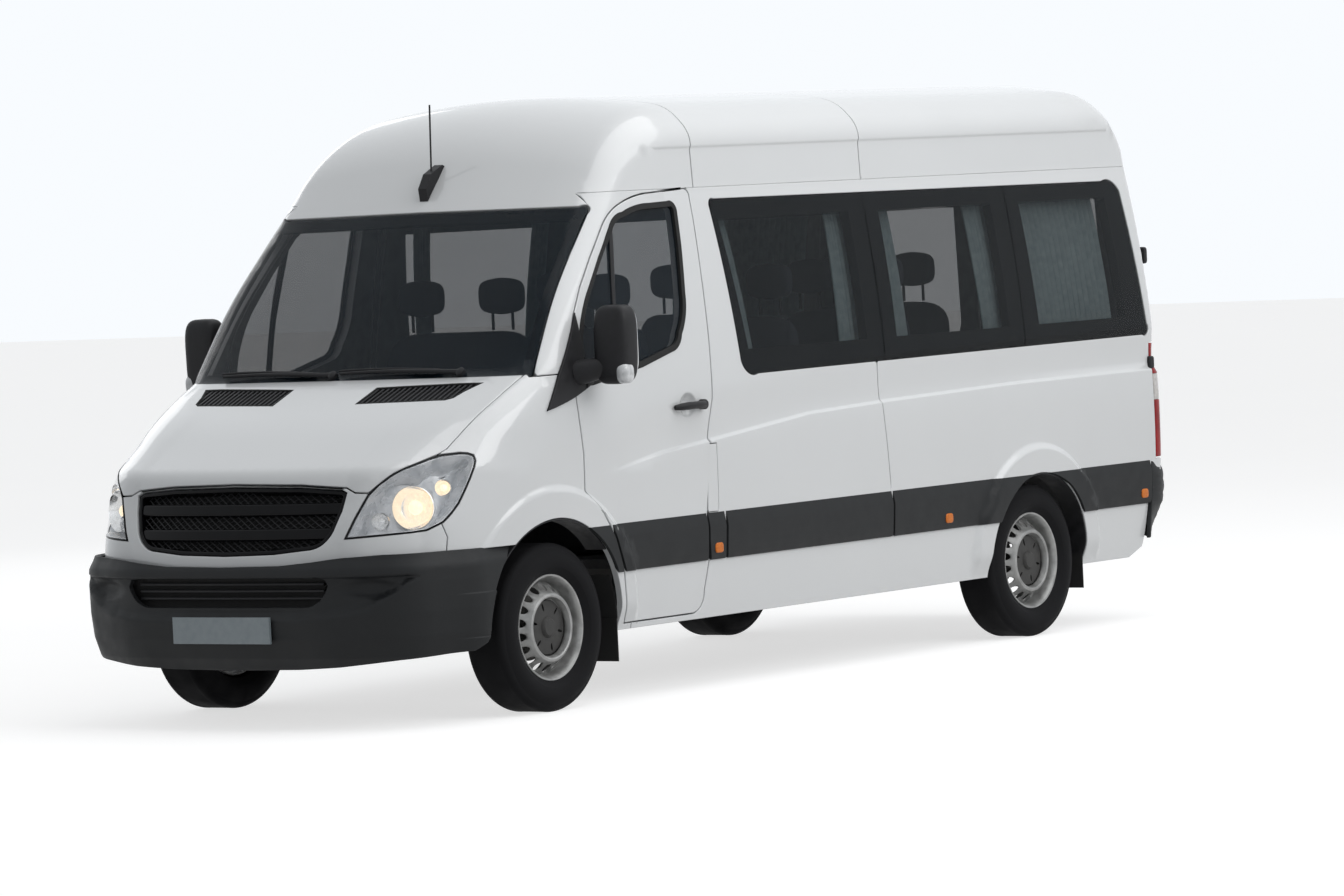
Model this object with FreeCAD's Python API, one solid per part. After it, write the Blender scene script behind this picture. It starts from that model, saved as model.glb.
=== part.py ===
import FreeCAD, Part
import math
import os

# A high-roof minibus, in millimetres. +X is forward, +Y is left, +Z is up, and the ground is z = 0.

V = FreeCAD.Vector
os.makedirs("parts", exist_ok=True)

# Main sizes

FRONT_AXLE_X = 1951.0
REAR_AXLE_X = -1714.0
HALF_TRACK = 855.0
TYRE_RADIUS = 352.0
HUB_BORE = 34.0
RIM_RADIUS = 222.0
SILL_Z = 300.0
GUTTER_Z = 2168.0
WALL = 56.0
UPPER_FRAME = 40.0
GLASS = 8.0
SHUT_GAP = 8.0
SEAT_GAP = 0.3
SKIN_MAX_Y = 985.0
FRONT_ARCH_RADIUS = 455.0
REAR_ARCH_RADIUS = 404.0
REAR_ARCH_X = REAR_AXLE_X - 30.0
BONNET_REAR_X = 2040.0
REAR_FACE_X = -2862.0
REAR_DOOR_TOP = 2300.0

REAR_HINGE_X = -2888.0
REAR_HINGE_Y = 812.0
KINGPIN_Y = 775.0
HUB_END_Y = 912.0
BULKHEAD_X = 1880.0
BUMPER_TOP = 712.0


# Outlines and prisms

def circle_centre(a, b, c):
    d = 2.0 * (a[0] * (b[1] - c[1]) + b[0] * (c[1] - a[1]) + c[0] * (a[1] - b[1]))
    qa = a[0] ** 2 + a[1] ** 2
    qb = b[0] ** 2 + b[1] ** 2
    qc = c[0] ** 2 + c[1] ** 2
    u = (qa * (b[1] - c[1]) + qb * (c[1] - a[1]) + qc * (a[1] - b[1])) / d
    v = (qa * (c[0] - b[0]) + qb * (a[0] - c[0]) + qc * (b[0] - a[0])) / d
    return (u, v)


def unit(a, b):
    size = math.hypot(a, b)
    return (a / size, b / size)


def tangents(start, entry):
    end = entry[-2:]
    chord = (end[0] - start[0], end[1] - start[1])
    if len(entry) == 2:
        direction = unit(*chord)
        return direction, direction
    centre = circle_centre(start, entry[:2], end)
    found = []
    for point in (start, end):
        across = unit(point[0] - centre[0], point[1] - centre[1])
        direction = (-across[1], across[0])
        if direction[0] * chord[0] + direction[1] * chord[1] < 0:
            direction = (across[1], -across[0])
        found.append(direction)
    return found[0], found[1]


# An outline moved outwards by a distance, with mitred corners; a negative distance moves it inwards
def grown(points, distance):
    entries = [tuple(entry) for entry in points[1:]]
    first = tuple(points[0][-2:])
    if math.dist(entries[-1][-2:], first) > 1e-6:
        entries.append(first)
    starts = [first] + [entry[-2:] for entry in entries[:-1]]
    count = len(entries)
    turn = sum(starts[i - 1][0] * starts[i][1] - starts[i][0] * starts[i - 1][1] for i in range(count))
    out = distance if turn > 0 else -distance
    runs = [tangents(starts[i], entries[i]) for i in range(count)]
    moved = []
    for i in range(count):
        before = runs[i - 1][1]
        after = runs[i][0]
        n1 = (before[1], -before[0])
        n2 = (after[1], -after[0])
        scale = out / (1.0 + n1[0] * n2[0] + n1[1] * n2[1])
        moved.append((starts[i][0] + (n1[0] + n2[0]) * scale, starts[i][1] + (n1[1] + n2[1]) * scale))
    result = [moved[0]]
    for i in range(count):
        entry = entries[i]
        end = moved[(i + 1) % count]
        if len(entry) == 2:
            result.append(end)
            continue
        start = starts[i]
        centre = circle_centre(start, entry[:2], entry[-2:])
        radial = unit(entry[0] - centre[0], entry[1] - centre[1])
        normal = (entry[-1] - start[1], start[0] - entry[-2])
        sign = 1.0 if normal[0] * radial[0] + normal[1] * radial[1] > 0 else -1.0
        result.append((entry[0] + radial[0] * sign * out, entry[1] + radial[1] * sign * out) + end)
    return result


def wire(points, place):
    edges = []
    last = place(*points[0][-2:])
    for entry in points[1:] + [points[0][-2:]]:
        end = place(*entry[-2:])
        if len(entry) == 4:
            edges.append(Part.Arc(last, place(*entry[:2]), end).toShape())
        elif last.distanceToPoint(end) > 1e-6:
            edges.append(Part.makeLine(last, end))
        last = end
    return Part.Wire(edges)


def face(points, place, grow=0.0):
    if grow:
        points = grown(points, grow)
    return Part.Face(wire(points, place))


def along_y(points, y0, y1, grow=0.0):
    flat = face(points, lambda a, b: V(a, y0, b), grow)
    return flat.extrude(V(0, y1 - y0, 0))


def along_z(points, z0, z1, grow=0.0):
    flat = face(points, lambda a, b: V(a, b, z0), grow)
    return flat.extrude(V(0, 0, z1 - z0))


def along_x(points, x0, x1, grow=0.0):
    flat = face(points, lambda a, b: V(x0, a, b), grow)
    return flat.extrude(V(x1 - x0, 0, 0))


def box(x0, x1, y0, y1, z0, z1):
    return Part.makeBox(x1 - x0, y1 - y0, z1 - z0, V(x0, y0, z0))


def rod_y(x, z, radius, y0, y1):
    return Part.makeCylinder(radius, y1 - y0, V(x, y0, z), V(0, 1, 0))


def rod(start, end, radius):
    a = V(*start)
    b = V(*end)
    return Part.makeCylinder(radius, a.distanceToPoint(b), a, b - a)


def mirrored(shape):
    return shape.mirror(V(0, 0, 0), V(0, 1, 0))


def pair(shape):
    return Part.makeCompound([shape, mirrored(shape)])


def joined(first, *rest):
    return first.fuse(list(rest)).removeSplitter()


def solids_of(shape, least=2000.0):
    kept = [s for s in shape.Solids if s.Volume > least]
    return kept[0] if len(kept) == 1 else Part.makeCompound(kept)


def save(name, shape, least=2000.0):
    solids_of(shape, least).exportStep("parts/" + name + ".step")


# Outer form of the body: its side view, its plan and its cross-section, each of lines and arcs

SIDE_VIEW = [
    (2905, -200),
    (2905, 700),
    (2868, 872, 2812, 1038),
    (2428, 1246, BONNET_REAR_X, 1415),
    (1784, 1772, 1497, 2112),
    (1352, 2276, 1180, 2412),
    (1030, 2500, 840, 2559),
    (700, 2600),
    (-2300, 2600),
    (-2460, 2566),
    (-2690, 2500, -2812, 2352),
    (REAR_FACE_X, 1100),
    (REAR_FACE_X, -200),
]

PLAN_HALF = [
    (2916, 0),
    (2892, 320, 2836, 600),
    (2744, 790, 2600, 902),
    (2536, 944, 2450, 972),
    (2180, 1004, 1800, 1010),
    (-2700, 1010),
    (-2822, 984, REAR_FACE_X, 900),
    (REAR_FACE_X, 0),
]

SECTION_HALF = [
    (930, -200),
    (945, 300),
    (SKIN_MAX_Y, 900, 872, 2150),
    (848, 2340),
    (802, 2456, 650, 2526),
    (330, 2562, 0, 2572),
]


# The other half of a plan, whose first and last points lie on the middle line
def mirrored_outline(half):
    points = list(half)
    for i in range(len(half) - 2, -1, -1):
        ahead = half[i + 1]
        here = half[i]
        if len(ahead) == 4:
            points.append((ahead[0], -ahead[1], here[-2], -here[-1]))
        elif i > 0:
            points.append((here[-2], -here[-1]))
    return points


# The other half of a cross-section, whose last point lies on the middle line
def mirrored_section(half):
    points = list(half)
    for i in range(len(half) - 2, -1, -1):
        ahead = half[i + 1]
        here = half[i]
        if len(ahead) == 4:
            points.append((-ahead[0], ahead[1], -here[-2], here[-1]))
        else:
            points.append((-here[-2], here[-1]))
    return points


def body_form(inset):
    side = along_y(SIDE_VIEW, -1100, 1100, -inset)
    plan = along_z(mirrored_outline(PLAN_HALF), -150, 2800, -inset)
    section = along_x(mirrored_section(SECTION_HALF), -3100, 3100, -inset)
    return side.common(plan).common(section)


OUTER = body_form(0.0)
EDGE_ROUNDS = 50.0


def pillar_edges(shape):
    picked = []
    for edge in shape.Edges:
        start = edge.valueAt(edge.FirstParameter)
        end = edge.valueAt(edge.LastParameter)
        low, high = sorted((start.z, end.z))
        if abs(low - 1415) < 2 and abs(high - 2112) < 2 and abs(start.y) > 500:
            picked.append(edge)
    return picked


OUTER = OUTER.makeFillet(EDGE_ROUNDS, pillar_edges(OUTER))

INNER = body_form(WALL)
INNER_FRAME = body_form(UPPER_FRAME)
INNER_GLASS = body_form(GLASS)
SHELL = OUTER.cut(INNER)
FRAME_SHELL = OUTER.cut(INNER_FRAME)
GLASS_SHELL = OUTER.cut(INNER_GLASS)

# Outlines on the sides (x, z)

DOOR = [
    (1742, 1300),
    (1718, 1060),
    (1722, 905),
    (1652, 838),
    (1572, 735),
    (1486, 540),
    (1452, 330),
    (960, 330),
    (905, 352, 880, 420),
    (850, 545),
    (862, 760),
    (822, 1060),
    (782, 1240),
    (768, 1480),
    (760, 1750),
    (748, 2000),
    (745, 2120),
    (758, 2140, 790, 2144),
    (1020, 2134),
    (1140, 2122, 1255, 2092),
    (1335, 2055, 1400, 2002),
    (1524, 1870),
    (1624, 1752),
    (1696, 1642),
    (1728, 1560, 1742, 1470),
]

DOOR_WINDOW = [
    (1690, 1352),
    (1668, 1560, 1586, 1720),
    (1470, 1864),
    (1350, 1996),
    (1304, 2036, 1244, 2052),
    (1150, 2076, 1040, 2084),
    (910, 2088),
    (874, 2080, 864, 2046),
    (878, 1900),
    (904, 1700),
    (925, 1600, 966, 1530),
    (1000, 1480, 1040, 1464),
    (1260, 1410),
    (1620, 1352),
]

BAND = [
    (612, 2062),
    (603, 2092, 568, 2098),
    (-2560, 2086),
    (-2656, 2080, -2704, 2034),
    (-2772, 1400),
    (-2772, 1352, -2730, 1348),
    (420, 1330),
    (500, 1336, 546, 1390),
]

BAND_SPLITS = [-556.0, -1708.0]

WINDOW_HOLES = [
    [(556, 2010), (-440, 2010), (-440, 1440), (470, 1440)],
    [(-676, 2010), (-1590, 2010), (-1600, 1440), (-676, 1440)],
    [(-1826, 2010), (-2566, 2010), (-2600, 1440), (-1850, 1440)],
]


def wheel_space(axle_x, radius, y0=560.0, y1=1100.0):
    return rod_y(axle_x, TYRE_RADIUS, radius, y0, y1)


def flare(axle_x, radius, reach, y0, y1):
    cone = Part.makeCone(radius + reach, radius + 26.0, y1 - y0, V(axle_x, y0, TYRE_RADIUS), V(0, 1, 0))
    return cone.cut(rod_y(axle_x, TYRE_RADIUS, radius, y0 - 10, y1 + 10))


FRONT_SPACE = wheel_space(FRONT_AXLE_X, FRONT_ARCH_RADIUS)
REAR_SPACE = wheel_space(REAR_ARCH_X, REAR_ARCH_RADIUS)
DOOR_HOLE = along_y(DOOR, 600, 1100, SHUT_GAP)
DOOR_MASK = along_y(DOOR, 600, 1100)
BAND_MASK = along_y(BAND, 600, 1100)


# Sides: the B pillar strip, the sills, the window wall, the A pillars and the rear wheel arches

SIDE_REGION = [
    (1470, GUTTER_Z),
    (1540, 2078),
    (2032, 1425),
    (2032, 1310),
    (1400, 1310),
    (1400, 712),
    (1730, 712),
    (1560, SILL_Z),
    (-2180, SILL_Z),
    (-2724, 340),
    (-2724, 748),
    (-2900, 748),
    (-2900, GUTTER_Z),
]

WINDSCREEN_YZ = [
    (-928, 1396),
    (928, 1396),
    (850, 2060),
    (842, 2092, 804, 2096),
    (-804, 2096),
    (-842, 2092, -850, 2060),
]
def side_wall():
    region = along_y(SIDE_REGION, 700, 1100)
    wall = SHELL.common(region)
    wall = wall.cut(DOOR_HOLE)
    wall = wall.cut(REAR_SPACE)
    wall = wall.cut(FRONT_SPACE)
    for hole in WINDOW_HOLES:
        wall = wall.cut(along_y(hole, 700, 1100))
    wall = wall.cut(GLASS_SHELL.common(BAND_MASK))
    wall = wall.cut(along_x(WINDSCREEN_YZ, 1300, 2300, SEAT_GAP))
    wall = wall.cut(REAR_HOLE)
    arch = flare(REAR_ARCH_X, REAR_ARCH_RADIUS, 100.0, 948.0, 992.0)
    arch = arch.common(box(-2300, -1200, 900, 1100, 560, 900)).cut(INNER)
    door_stop = seal_flange([(700, 420), (772, 420), (772, 1300), (700, 1300)])
    rear_stop = seal_flange([(-2900, 760), (-2700, 760), (-2700, 2100), (-2900, 2100)])
    rear_stop = rear_stop.common(box(-2900, -2700, REAR_HINGE_Y - 14, REAR_HINGE_Y + 60, 700, 2150))
    return wall.fuse([arch, door_stop, rear_stop]).cut(TAIL_HOLE).removeSplitter()


# A stop behind the edge of a door: it is part of the wall beside the door, and the door's seal lies on it
def seal_flange(outline):
    plate = BEHIND_SEAL.cut(BEHIND_STOP).common(along_y(outline, 700, 1100))
    foot = INNER.cut(BEHIND_STOP).common(along_y(outline, 700, 1100)).cut(DOOR_HOLE).cut(REAR_HOLE)
    return plate.fuse(foot)


BEHIND_SEAL = body_form(WALL + SEAT_GAP)
BEHIND_STOP = body_form(WALL + 20.0)
REAR_HOLE = box(-2900, REAR_FACE_X + 120, -REAR_HINGE_Y - 4, REAR_HINGE_Y + 4, 596,
               REAR_DOOR_TOP + SHUT_GAP)
TAIL_LAMP = box(-2900, REAR_FACE_X + 80, REAR_HINGE_Y + 14, 1100, 756, 1312)
TAIL_HOLE = box(-2900, REAR_FACE_X + 80 + SEAT_GAP, REAR_HINGE_Y + 14 - SEAT_GAP, 1100, 756 - SEAT_GAP,
                1312 + SEAT_GAP)
LEFT_WALL = side_wall()

SLIDING = [
    (725, 345),
    (-540, 345),
    (-540, 2132),
    (690, 2132),
    (735, 1160),
    (725, 1060),
]

FUEL_FLAP = [(776, 756), (852, 756), (846, 1046), (776, 1046)]
SHUT_LINE_DEPTH = body_form(12.0)


def shut_line(outline, y0, y1):
    band = along_y(outline, y0, y1, 3.0).cut(along_y(outline, y0, y1, -3.0))
    return band.cut(SHUT_LINE_DEPTH)


right_wall = mirrored(LEFT_WALL)
slide_line = shut_line(SLIDING, -1100, -700)
sliding_door = right_wall.common(along_y(SLIDING, -1100, -700)).cut(slide_line)
right_wall = right_wall.cut(along_y(SLIDING, -1100, -700, SEAT_GAP)).cut(slide_line)
LEFT_WALL = LEFT_WALL.cut(shut_line(FUEL_FLAP, 700, 1100))
save("side_left", LEFT_WALL)
save("side_right", right_wall)
save("sliding_door", sliding_door)

# Roof: everything above the gutter line, with the screen header

ROOF_REGION = [
    (1460, GUTTER_Z + SEAT_GAP),
    (1536, 2090),
    (1700, 2200),
    (1700, 2800),
    (-3000, 2800),
    (-3000, GUTTER_Z + SEAT_GAP),
]
roof = SHELL.common(along_y(ROOF_REGION, -1100, 1100))
HEADER = [(1400, GUTTER_Z + 2), (1462, GUTTER_Z + 2), (1530, 2096), (1562, 2040), (1380, 2040)]
header = SHELL.common(along_y(HEADER, -700 + SEAT_GAP, 700 - SEAT_GAP))
header = header.cut(along_x(WINDSCREEN_YZ, 1300, 2300, SEAT_GAP))
roof = roof.cut(along_x(WINDSCREEN_YZ, 1300, 2300, SEAT_GAP)).cut(LEFT_WALL).cut(right_wall)
rear_header = BEHIND_SEAL.cut(BEHIND_STOP).common(box(-2900, -2680, -700, 700, 2270, 2390))
rear_header = rear_header.fuse(INNER.cut(BEHIND_STOP).common(box(-2900, -2680, -700, 700, 2312, 2390)))
roof = roof.fuse([header, rear_header]).cut(REAR_HOLE.cut(BEHIND_SEAL))
save("roof", roof.removeSplitter())

# Rear doors

REAR_DOOR_YZ = [
    (4, 604),
    (REAR_HINGE_Y - 4, 604),
    (REAR_HINGE_Y - 4, 2150),
    (REAR_HINGE_Y - 44, REAR_DOOR_TOP),
    (4, REAR_DOOR_TOP),
]
HINGE_HEIGHTS = (700.0, 1320.0, 1960.0)
REAR_GLASS_YZ = [
    (110, 1380),
    (716, 1380),
    (700, 2090),
    (110, 2090),
]
rear_slab = OUTER.common(box(-3000, REAR_FACE_X + 110, -1000, 1000, 500, 2500))
rear_door = rear_slab.cut(INNER).common(along_x(REAR_DOOR_YZ, -3000, -2700))
rear_door = rear_door.cut(along_x([(150, 1420), (676, 1420), (662, 2050), (150, 2050)], -3000, -2700))
rear_pane = GLASS_SHELL.common(along_x(REAR_GLASS_YZ, -3000, -2700))
rear_door = rear_door.cut(rear_pane)
hinges = []
for z in HINGE_HEIGHTS:
    hinges.append(Part.makeCylinder(12, 60, V(REAR_HINGE_X, REAR_HINGE_Y, z)))
    hinges.append(box(REAR_HINGE_X - 8, REAR_FACE_X + 58, REAR_HINGE_Y - 46, REAR_HINGE_Y - 6, z, z + 60))
rear_door = rear_door.fuse(hinges).removeSplitter()
save("rear_door_left", rear_door)
save("rear_door_right", mirrored(rear_door))
save("rear_glass_left", rear_pane)
save("rear_glass_right", mirrored(rear_pane))

# Front doors

lower_door = SHELL.common(DOOR_MASK).common(box(500, 1800, 600, 1100, 300, 1340))
upper_door = FRAME_SHELL.common(DOOR_MASK).common(box(500, 1800, 600, 1100, 1340, 2300))
door = lower_door.fuse(upper_door)
WINDOW_HOLE = along_y(DOOR_WINDOW, 600, 1100, -34.0)
door = door.cut(WINDOW_HOLE)
door_pane = GLASS_SHELL.common(along_y(DOOR_WINDOW, 600, 1100))
door = door.cut(door_pane)
HANDLE_DISH = Part.makeSphere(86.0, V(958, 1030, 1212))
door = door.cut(HANDLE_DISH).removeSplitter()
save("door_left", door)
save("door_right", mirrored(door))
save("door_glass_left", door_pane)
save("door_glass_right", mirrored(door_pane))

# Mirrors, each on its triangular foot, and the door handles

foot = along_y([(1796, 1262), (1560, 1330), (1668, 1560), (1728, 1470)], 944, 986)
foot = foot.common(box(1500, 1726, 900, 1000, 1200, 1600))
arm_lower = rod((1660, 972, 1390), (1640, 1060, 1380), 22.0)
arm_upper = rod((1650, 966, 1500), (1640, 1060, 1600), 18.0)
housing = along_x([(1050, 1320), (1190, 1330), (1212, 1352), (1215, 1640), (1190, 1680), (1076, 1676),
                   (1046, 1640)], 1580, 1700)
housing = housing.makeFillet(24.0, [e for e in housing.Edges if e.BoundBox.XLength > 100])
handle = box(850, 1064, 991, 1013, 1206, 1234).fuse([box(1036, 1064, 960, 991, 1206, 1234),
                                                     box(850, 872, 960, 991, 1206, 1234)])
mirror = foot.fuse([arm_lower, arm_upper, housing])
mirror = mirror.cut(OUTER).removeSplitter()
handle = handle.cut(OUTER).removeSplitter()
fittings = Part.makeCompound([mirror.Solids[0], handle.Solids[0]])
save("door_fittings_left", fittings)
save("door_fittings_right", mirrored(fittings))

# Bonnet, nose, lamps, grille and wings

BONNET_LOWER_YZ = [
    (-1010, 1500),
    (-1010, 1190),
    (-892, 1160),
    (-700, 1022),
    (-612, 1018),
    (612, 1018),
    (700, 1022),
    (892, 1160),
    (1010, 1190),
    (1010, 1500),
]
BONNET_PLAN = [
    (BONNET_REAR_X, -868),
    (2960, -916),
    (2960, 916),
    (BONNET_REAR_X, 868),
]
LAMP_YZ = [
    (588, 792),
    (640, 800, 700, 806),
    (900, 834),
    (965, 850, 996, 900),
    (1010, 1000),
    (1010, 1090),
    (970, 1122, 890, 1132),
    (740, 1000, 588, 812),
]
GRILLE_YZ = [
    (-572, 1010),
    (-562, 900),
    (-522, 768, -436, 738),
    (436, 738),
    (522, 768, 562, 900),
    (572, 1010),
]

FRONT_SHELL = OUTER.cut(INNER_FRAME)
bonnet = FRONT_SHELL.common(along_x(BONNET_LOWER_YZ, 2000, 3000))
bonnet = bonnet.common(along_z(BONNET_PLAN, 900, 1500))
bonnet = bonnet.cut(box(0, BONNET_REAR_X + 4, -1100, 1100, 0, 3000))
save("bonnet", bonnet)

lamp_mask = along_x(LAMP_YZ, 2440, 3000)
lamp_hole = along_x(LAMP_YZ, 2464 - SEAT_GAP, 3000, SEAT_GAP)
lamp = OUTER.cut(body_form(90.0)).common(lamp_mask).common(box(2464, 3000, 0, 1100, 700, 1300))
lamp = lamp.cut(along_x(GRILLE_YZ, 2500, 3000, SEAT_GAP))
save("headlamps", pair(lamp))

MESH_BANDS = [(764, 448.0), (852, 500.0), (940, 524.0)]
MESH_HEIGHT = 44.0
grille_mask = along_x(GRILLE_YZ, 2500, 3000)
grille = OUTER.cut(body_form(30.0)).common(grille_mask).common(box(2700, 3000, -700, 700, 700, 1100))
for z0, half in MESH_BANDS:
    for i in range(-6, 6):
        y0 = half / 6.0 * i + 6.0
        grille = grille.cut(box(2700, 3000, y0, y0 + half / 6.0 - 12.0, z0, z0 + MESH_HEIGHT))
save("grille", grille)

nose = FRONT_SHELL.common(box(2644, 3000, -1000, 1000, BUMPER_TOP + SEAT_GAP, 1012))
nose = nose.cut(along_x(GRILLE_YZ, 2500, 3000, SEAT_GAP))
nose = nose.cut(lamp_hole).cut(mirrored(lamp_hole))
nose = nose.cut(along_x(BONNET_LOWER_YZ, 2000, 3000, 6.0))

WING_REGION = [
    (2644 - SEAT_GAP, 1400),
    (2644 - SEAT_GAP, BUMPER_TOP + SEAT_GAP),
    (1400, BUMPER_TOP + SEAT_GAP),
    (1400, 1310 - SEAT_GAP),
    (2032 + SEAT_GAP, 1310 - SEAT_GAP),
    (2032 + SEAT_GAP, 1440),
]
BONNET_HOLE = along_z([(1900, -874), (2960, -922), (2960, 922), (1900, 874)], 900, 1500)
BONNET_HOLE = BONNET_HOLE.common(along_x(BONNET_LOWER_YZ, 1900, 3000, SHUT_GAP))
wing = FRONT_SHELL.common(along_y(WING_REGION, 600, 1100))
wing = wing.cut(DOOR_HOLE).cut(lamp_hole).cut(BONNET_HOLE).cut(FRONT_SPACE)
front_arch = flare(FRONT_AXLE_X, FRONT_ARCH_RADIUS, 130.0, 944.0, 994.0)
front_arch = front_arch.common(along_y(WING_REGION, 900, 1100)).cut(DOOR_HOLE).cut(INNER_FRAME)
bonnet_rest = box(2120, 2440, 800, 900, 1000, 1440)
rest_plate = body_form(UPPER_FRAME + SEAT_GAP).cut(body_form(UPPER_FRAME + 18.0)).common(bonnet_rest)
rest_foot = INNER_FRAME.cut(body_form(UPPER_FRAME + 18.0)).common(bonnet_rest).cut(BONNET_HOLE)
wing = wing.fuse([front_arch, rest_plate, rest_foot]).removeSplitter()
nose = nose.cut(BONNET_HOLE)
save("nose_panel", nose)
save("wings", pair(solids_of(wing)))

# Windscreen

SCREEN_SPACE = box(1400, 2032, -1000, 1000, 1400, 2110)
screen = GLASS_SHELL.common(along_x(WINDSCREEN_YZ, 1300, 2300)).common(SCREEN_SPACE)
save("windscreen", screen)

# Side glass: three panes a side, flush in the wall

panes = []
edges = [700.0] + BAND_SPLITS + [-2900.0]
for i in range(3):
    region = box(edges[i + 1] + 3.0, edges[i] - 3.0, 700, 1100, 1300, 2200)
    panes.append(GLASS_SHELL.common(BAND_MASK).common(region))
pane_group = []
for pane in panes:
    pane_group += pane.Solids + mirrored(pane).Solids
save("side_glass", Part.makeCompound(pane_group))

# Floor, wheel boxes and front bulkhead

floor = box(-2760, 1500, -960, 960, 560, 600)
for side in (1, -1):
    y0, y1 = (520, 960) if side > 0 else (-960, -520)
    floor = floor.fuse(box(REAR_AXLE_X - 430, REAR_AXLE_X + 430, y0, y1, 560, 830))
rear_void = rod_y(REAR_ARCH_X, TYRE_RADIUS, REAR_ARCH_RADIUS, 548, 1000)
floor = floor.cut(rear_void).cut(mirrored(rear_void))
front_box = box(1500, BULKHEAD_X - 30, -540, 540, 560, 600)
tunnel = wheel_space(FRONT_AXLE_X, 520.0, 548.0, 1000.0)
floor = floor.fuse(front_box).cut(tunnel).cut(mirrored(tunnel)).common(BEHIND_SEAL)
floor = floor.cut(LEFT_WALL).cut(right_wall).cut(sliding_door).removeSplitter()
save("floor", floor)

bulkhead = box(BULKHEAD_X - 30, BULKHEAD_X, -880, 880, 560, 1330)
bulkhead = bulkhead.cut(tunnel).cut(mirrored(tunnel))
save("bulkhead", bulkhead)

# Chassis rails, axles and suspension

RAIL_INNER_Y = 380.0
RAIL_OUTER_Y = 450.0
RAIL_BOTTOM = 420.0
rails = []
for y0, y1 in ((RAIL_INNER_Y, RAIL_OUTER_Y), (-RAIL_OUTER_Y, -RAIL_INNER_Y)):
    rails.append(box(-2815, 2790, y0, y1, RAIL_BOTTOM, 560))
for x in (-2790, -2300, -1100, -200, 700, 1400, 2700):
    rails.append(box(x, x + 70, -RAIL_INNER_Y, RAIL_INNER_Y, 440, 530))
save("chassis_frame", joined(rails[0], *rails[1:]))

axle = rod_y(REAR_AXLE_X, TYRE_RADIUS, 46.0, -738, 738)
axle = axle.fuse(Part.makeSphere(128.0, V(REAR_AXLE_X, 0, TYRE_RADIUS)))
axle = axle.fuse(rod_y(REAR_AXLE_X, TYRE_RADIUS, HUB_BORE - SEAT_GAP, -HUB_END_Y, HUB_END_Y))
for side in (1, -1):
    y = side * 560
    spring = along_y([(-2420, 396), (-2068, 402, REAR_AXLE_X, 404), (-1360, 402, -1010, 396),
                      (-1010, 430), (-1360, 440, REAR_AXLE_X, 444), (-2068, 440, -2420, 430)], y - 32, y + 32)
    seat_block = box(REAR_AXLE_X - 50, REAR_AXLE_X + 50, y - 40, y + 40, 370, 404)
    drum = Part.makeCylinder(120, 50, V(REAR_AXLE_X, side * 712, TYRE_RADIUS), V(0, side, 0))
    y0, y1 = sorted((side * RAIL_OUTER_Y, side * 600))
    shackles = [box(x - 30, x + 30, y0, y1, 396, 470) for x in (-2420, -1010)]
    axle = axle.fuse([spring, seat_block, drum] + shackles)
save("rear_axle", axle.removeSplitter())

subframe = box(FRONT_AXLE_X - 110, FRONT_AXLE_X + 110, -470, 470, 300, RAIL_BOTTOM)
ARM_TOP = 300.0
for side in (1, -1):
    arm = [(FRONT_AXLE_X - 130, side * 430), (FRONT_AXLE_X + 130, side * 430),
           (FRONT_AXLE_X + 34, side * 700), (FRONT_AXLE_X + 22, side * (KINGPIN_Y - 3)),
           (FRONT_AXLE_X + 10, side * (KINGPIN_Y + 13)), (FRONT_AXLE_X - 10, side * (KINGPIN_Y + 13)),
           (FRONT_AXLE_X - 22, side * (KINGPIN_Y - 3)), (FRONT_AXLE_X - 34, side * 700)]
    strut = Part.makeCylinder(46, 418, V(FRONT_AXLE_X, side * 620, ARM_TOP - 2))
    y0, y1 = sorted((side * RAIL_OUTER_Y, side * 500))
    tower = box(FRONT_AXLE_X - 50, FRONT_AXLE_X + 50, y0, y1, 430, 740)
    y0, y1 = sorted((side * RAIL_OUTER_Y, side * 672))
    cap = box(FRONT_AXLE_X - 50, FRONT_AXLE_X + 50, y0, y1, 714, 740)
    subframe = subframe.fuse([along_z(arm, 262, ARM_TOP), strut, tower, cap])
save("front_suspension", subframe.removeSplitter())

# Underbody: fuel tank, battery box, exhaust and the shaft to the rear axle

tank = box(-900, 100, -860, -500, 330, 560)
tank = tank.makeFillet(40.0, [e for e in tank.Edges if e.BoundBox.XLength > 900 and e.BoundBox.ZMin < 400])
battery = box(200, 760, -860, -520, 360, 560)
EXHAUST_Y = 240.0
EXHAUST_Z = 330.0
exhaust = Part.makeCylinder(80, 620, V(-560, EXHAUST_Y, EXHAUST_Z), V(-1, 0, 0))
exhaust = exhaust.fuse(Part.makeCylinder(28, 1960, V(-570, EXHAUST_Y, EXHAUST_Z), V(1, 0, 0)))
for x, z in ((-1065.0, 400.0), (735.0, EXHAUST_Z + 20.0)):
    exhaust = exhaust.fuse(box(x - 12, x + 12, EXHAUST_Y - 14, EXHAUST_Y + 14, z, 440))
shaft = Part.makeCylinder(38, 2700, V(REAR_AXLE_X + 122, 0, 365), V(1, 0, 0)).cut(axle)
save("underbody", Part.makeCompound([tank, battery, exhaust.removeSplitter(), shaft]))

engine = box(2080, 2640, -330, 330, 540, 1040)
engine = engine.fuse(box(2300, 2380, -RAIL_INNER_Y, RAIL_INNER_Y, 480, 560))
save("engine", engine.removeSplitter())

# Bumpers

BUMPER_PLAN_HALF = [
    (2951, 0),
    (2938, 330, 2902, 600),
    (2842, 800, 2706, 916),
    (2590, 984, 2400, 994),
    (2150, 994),
    (2150, 0),
]


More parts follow.
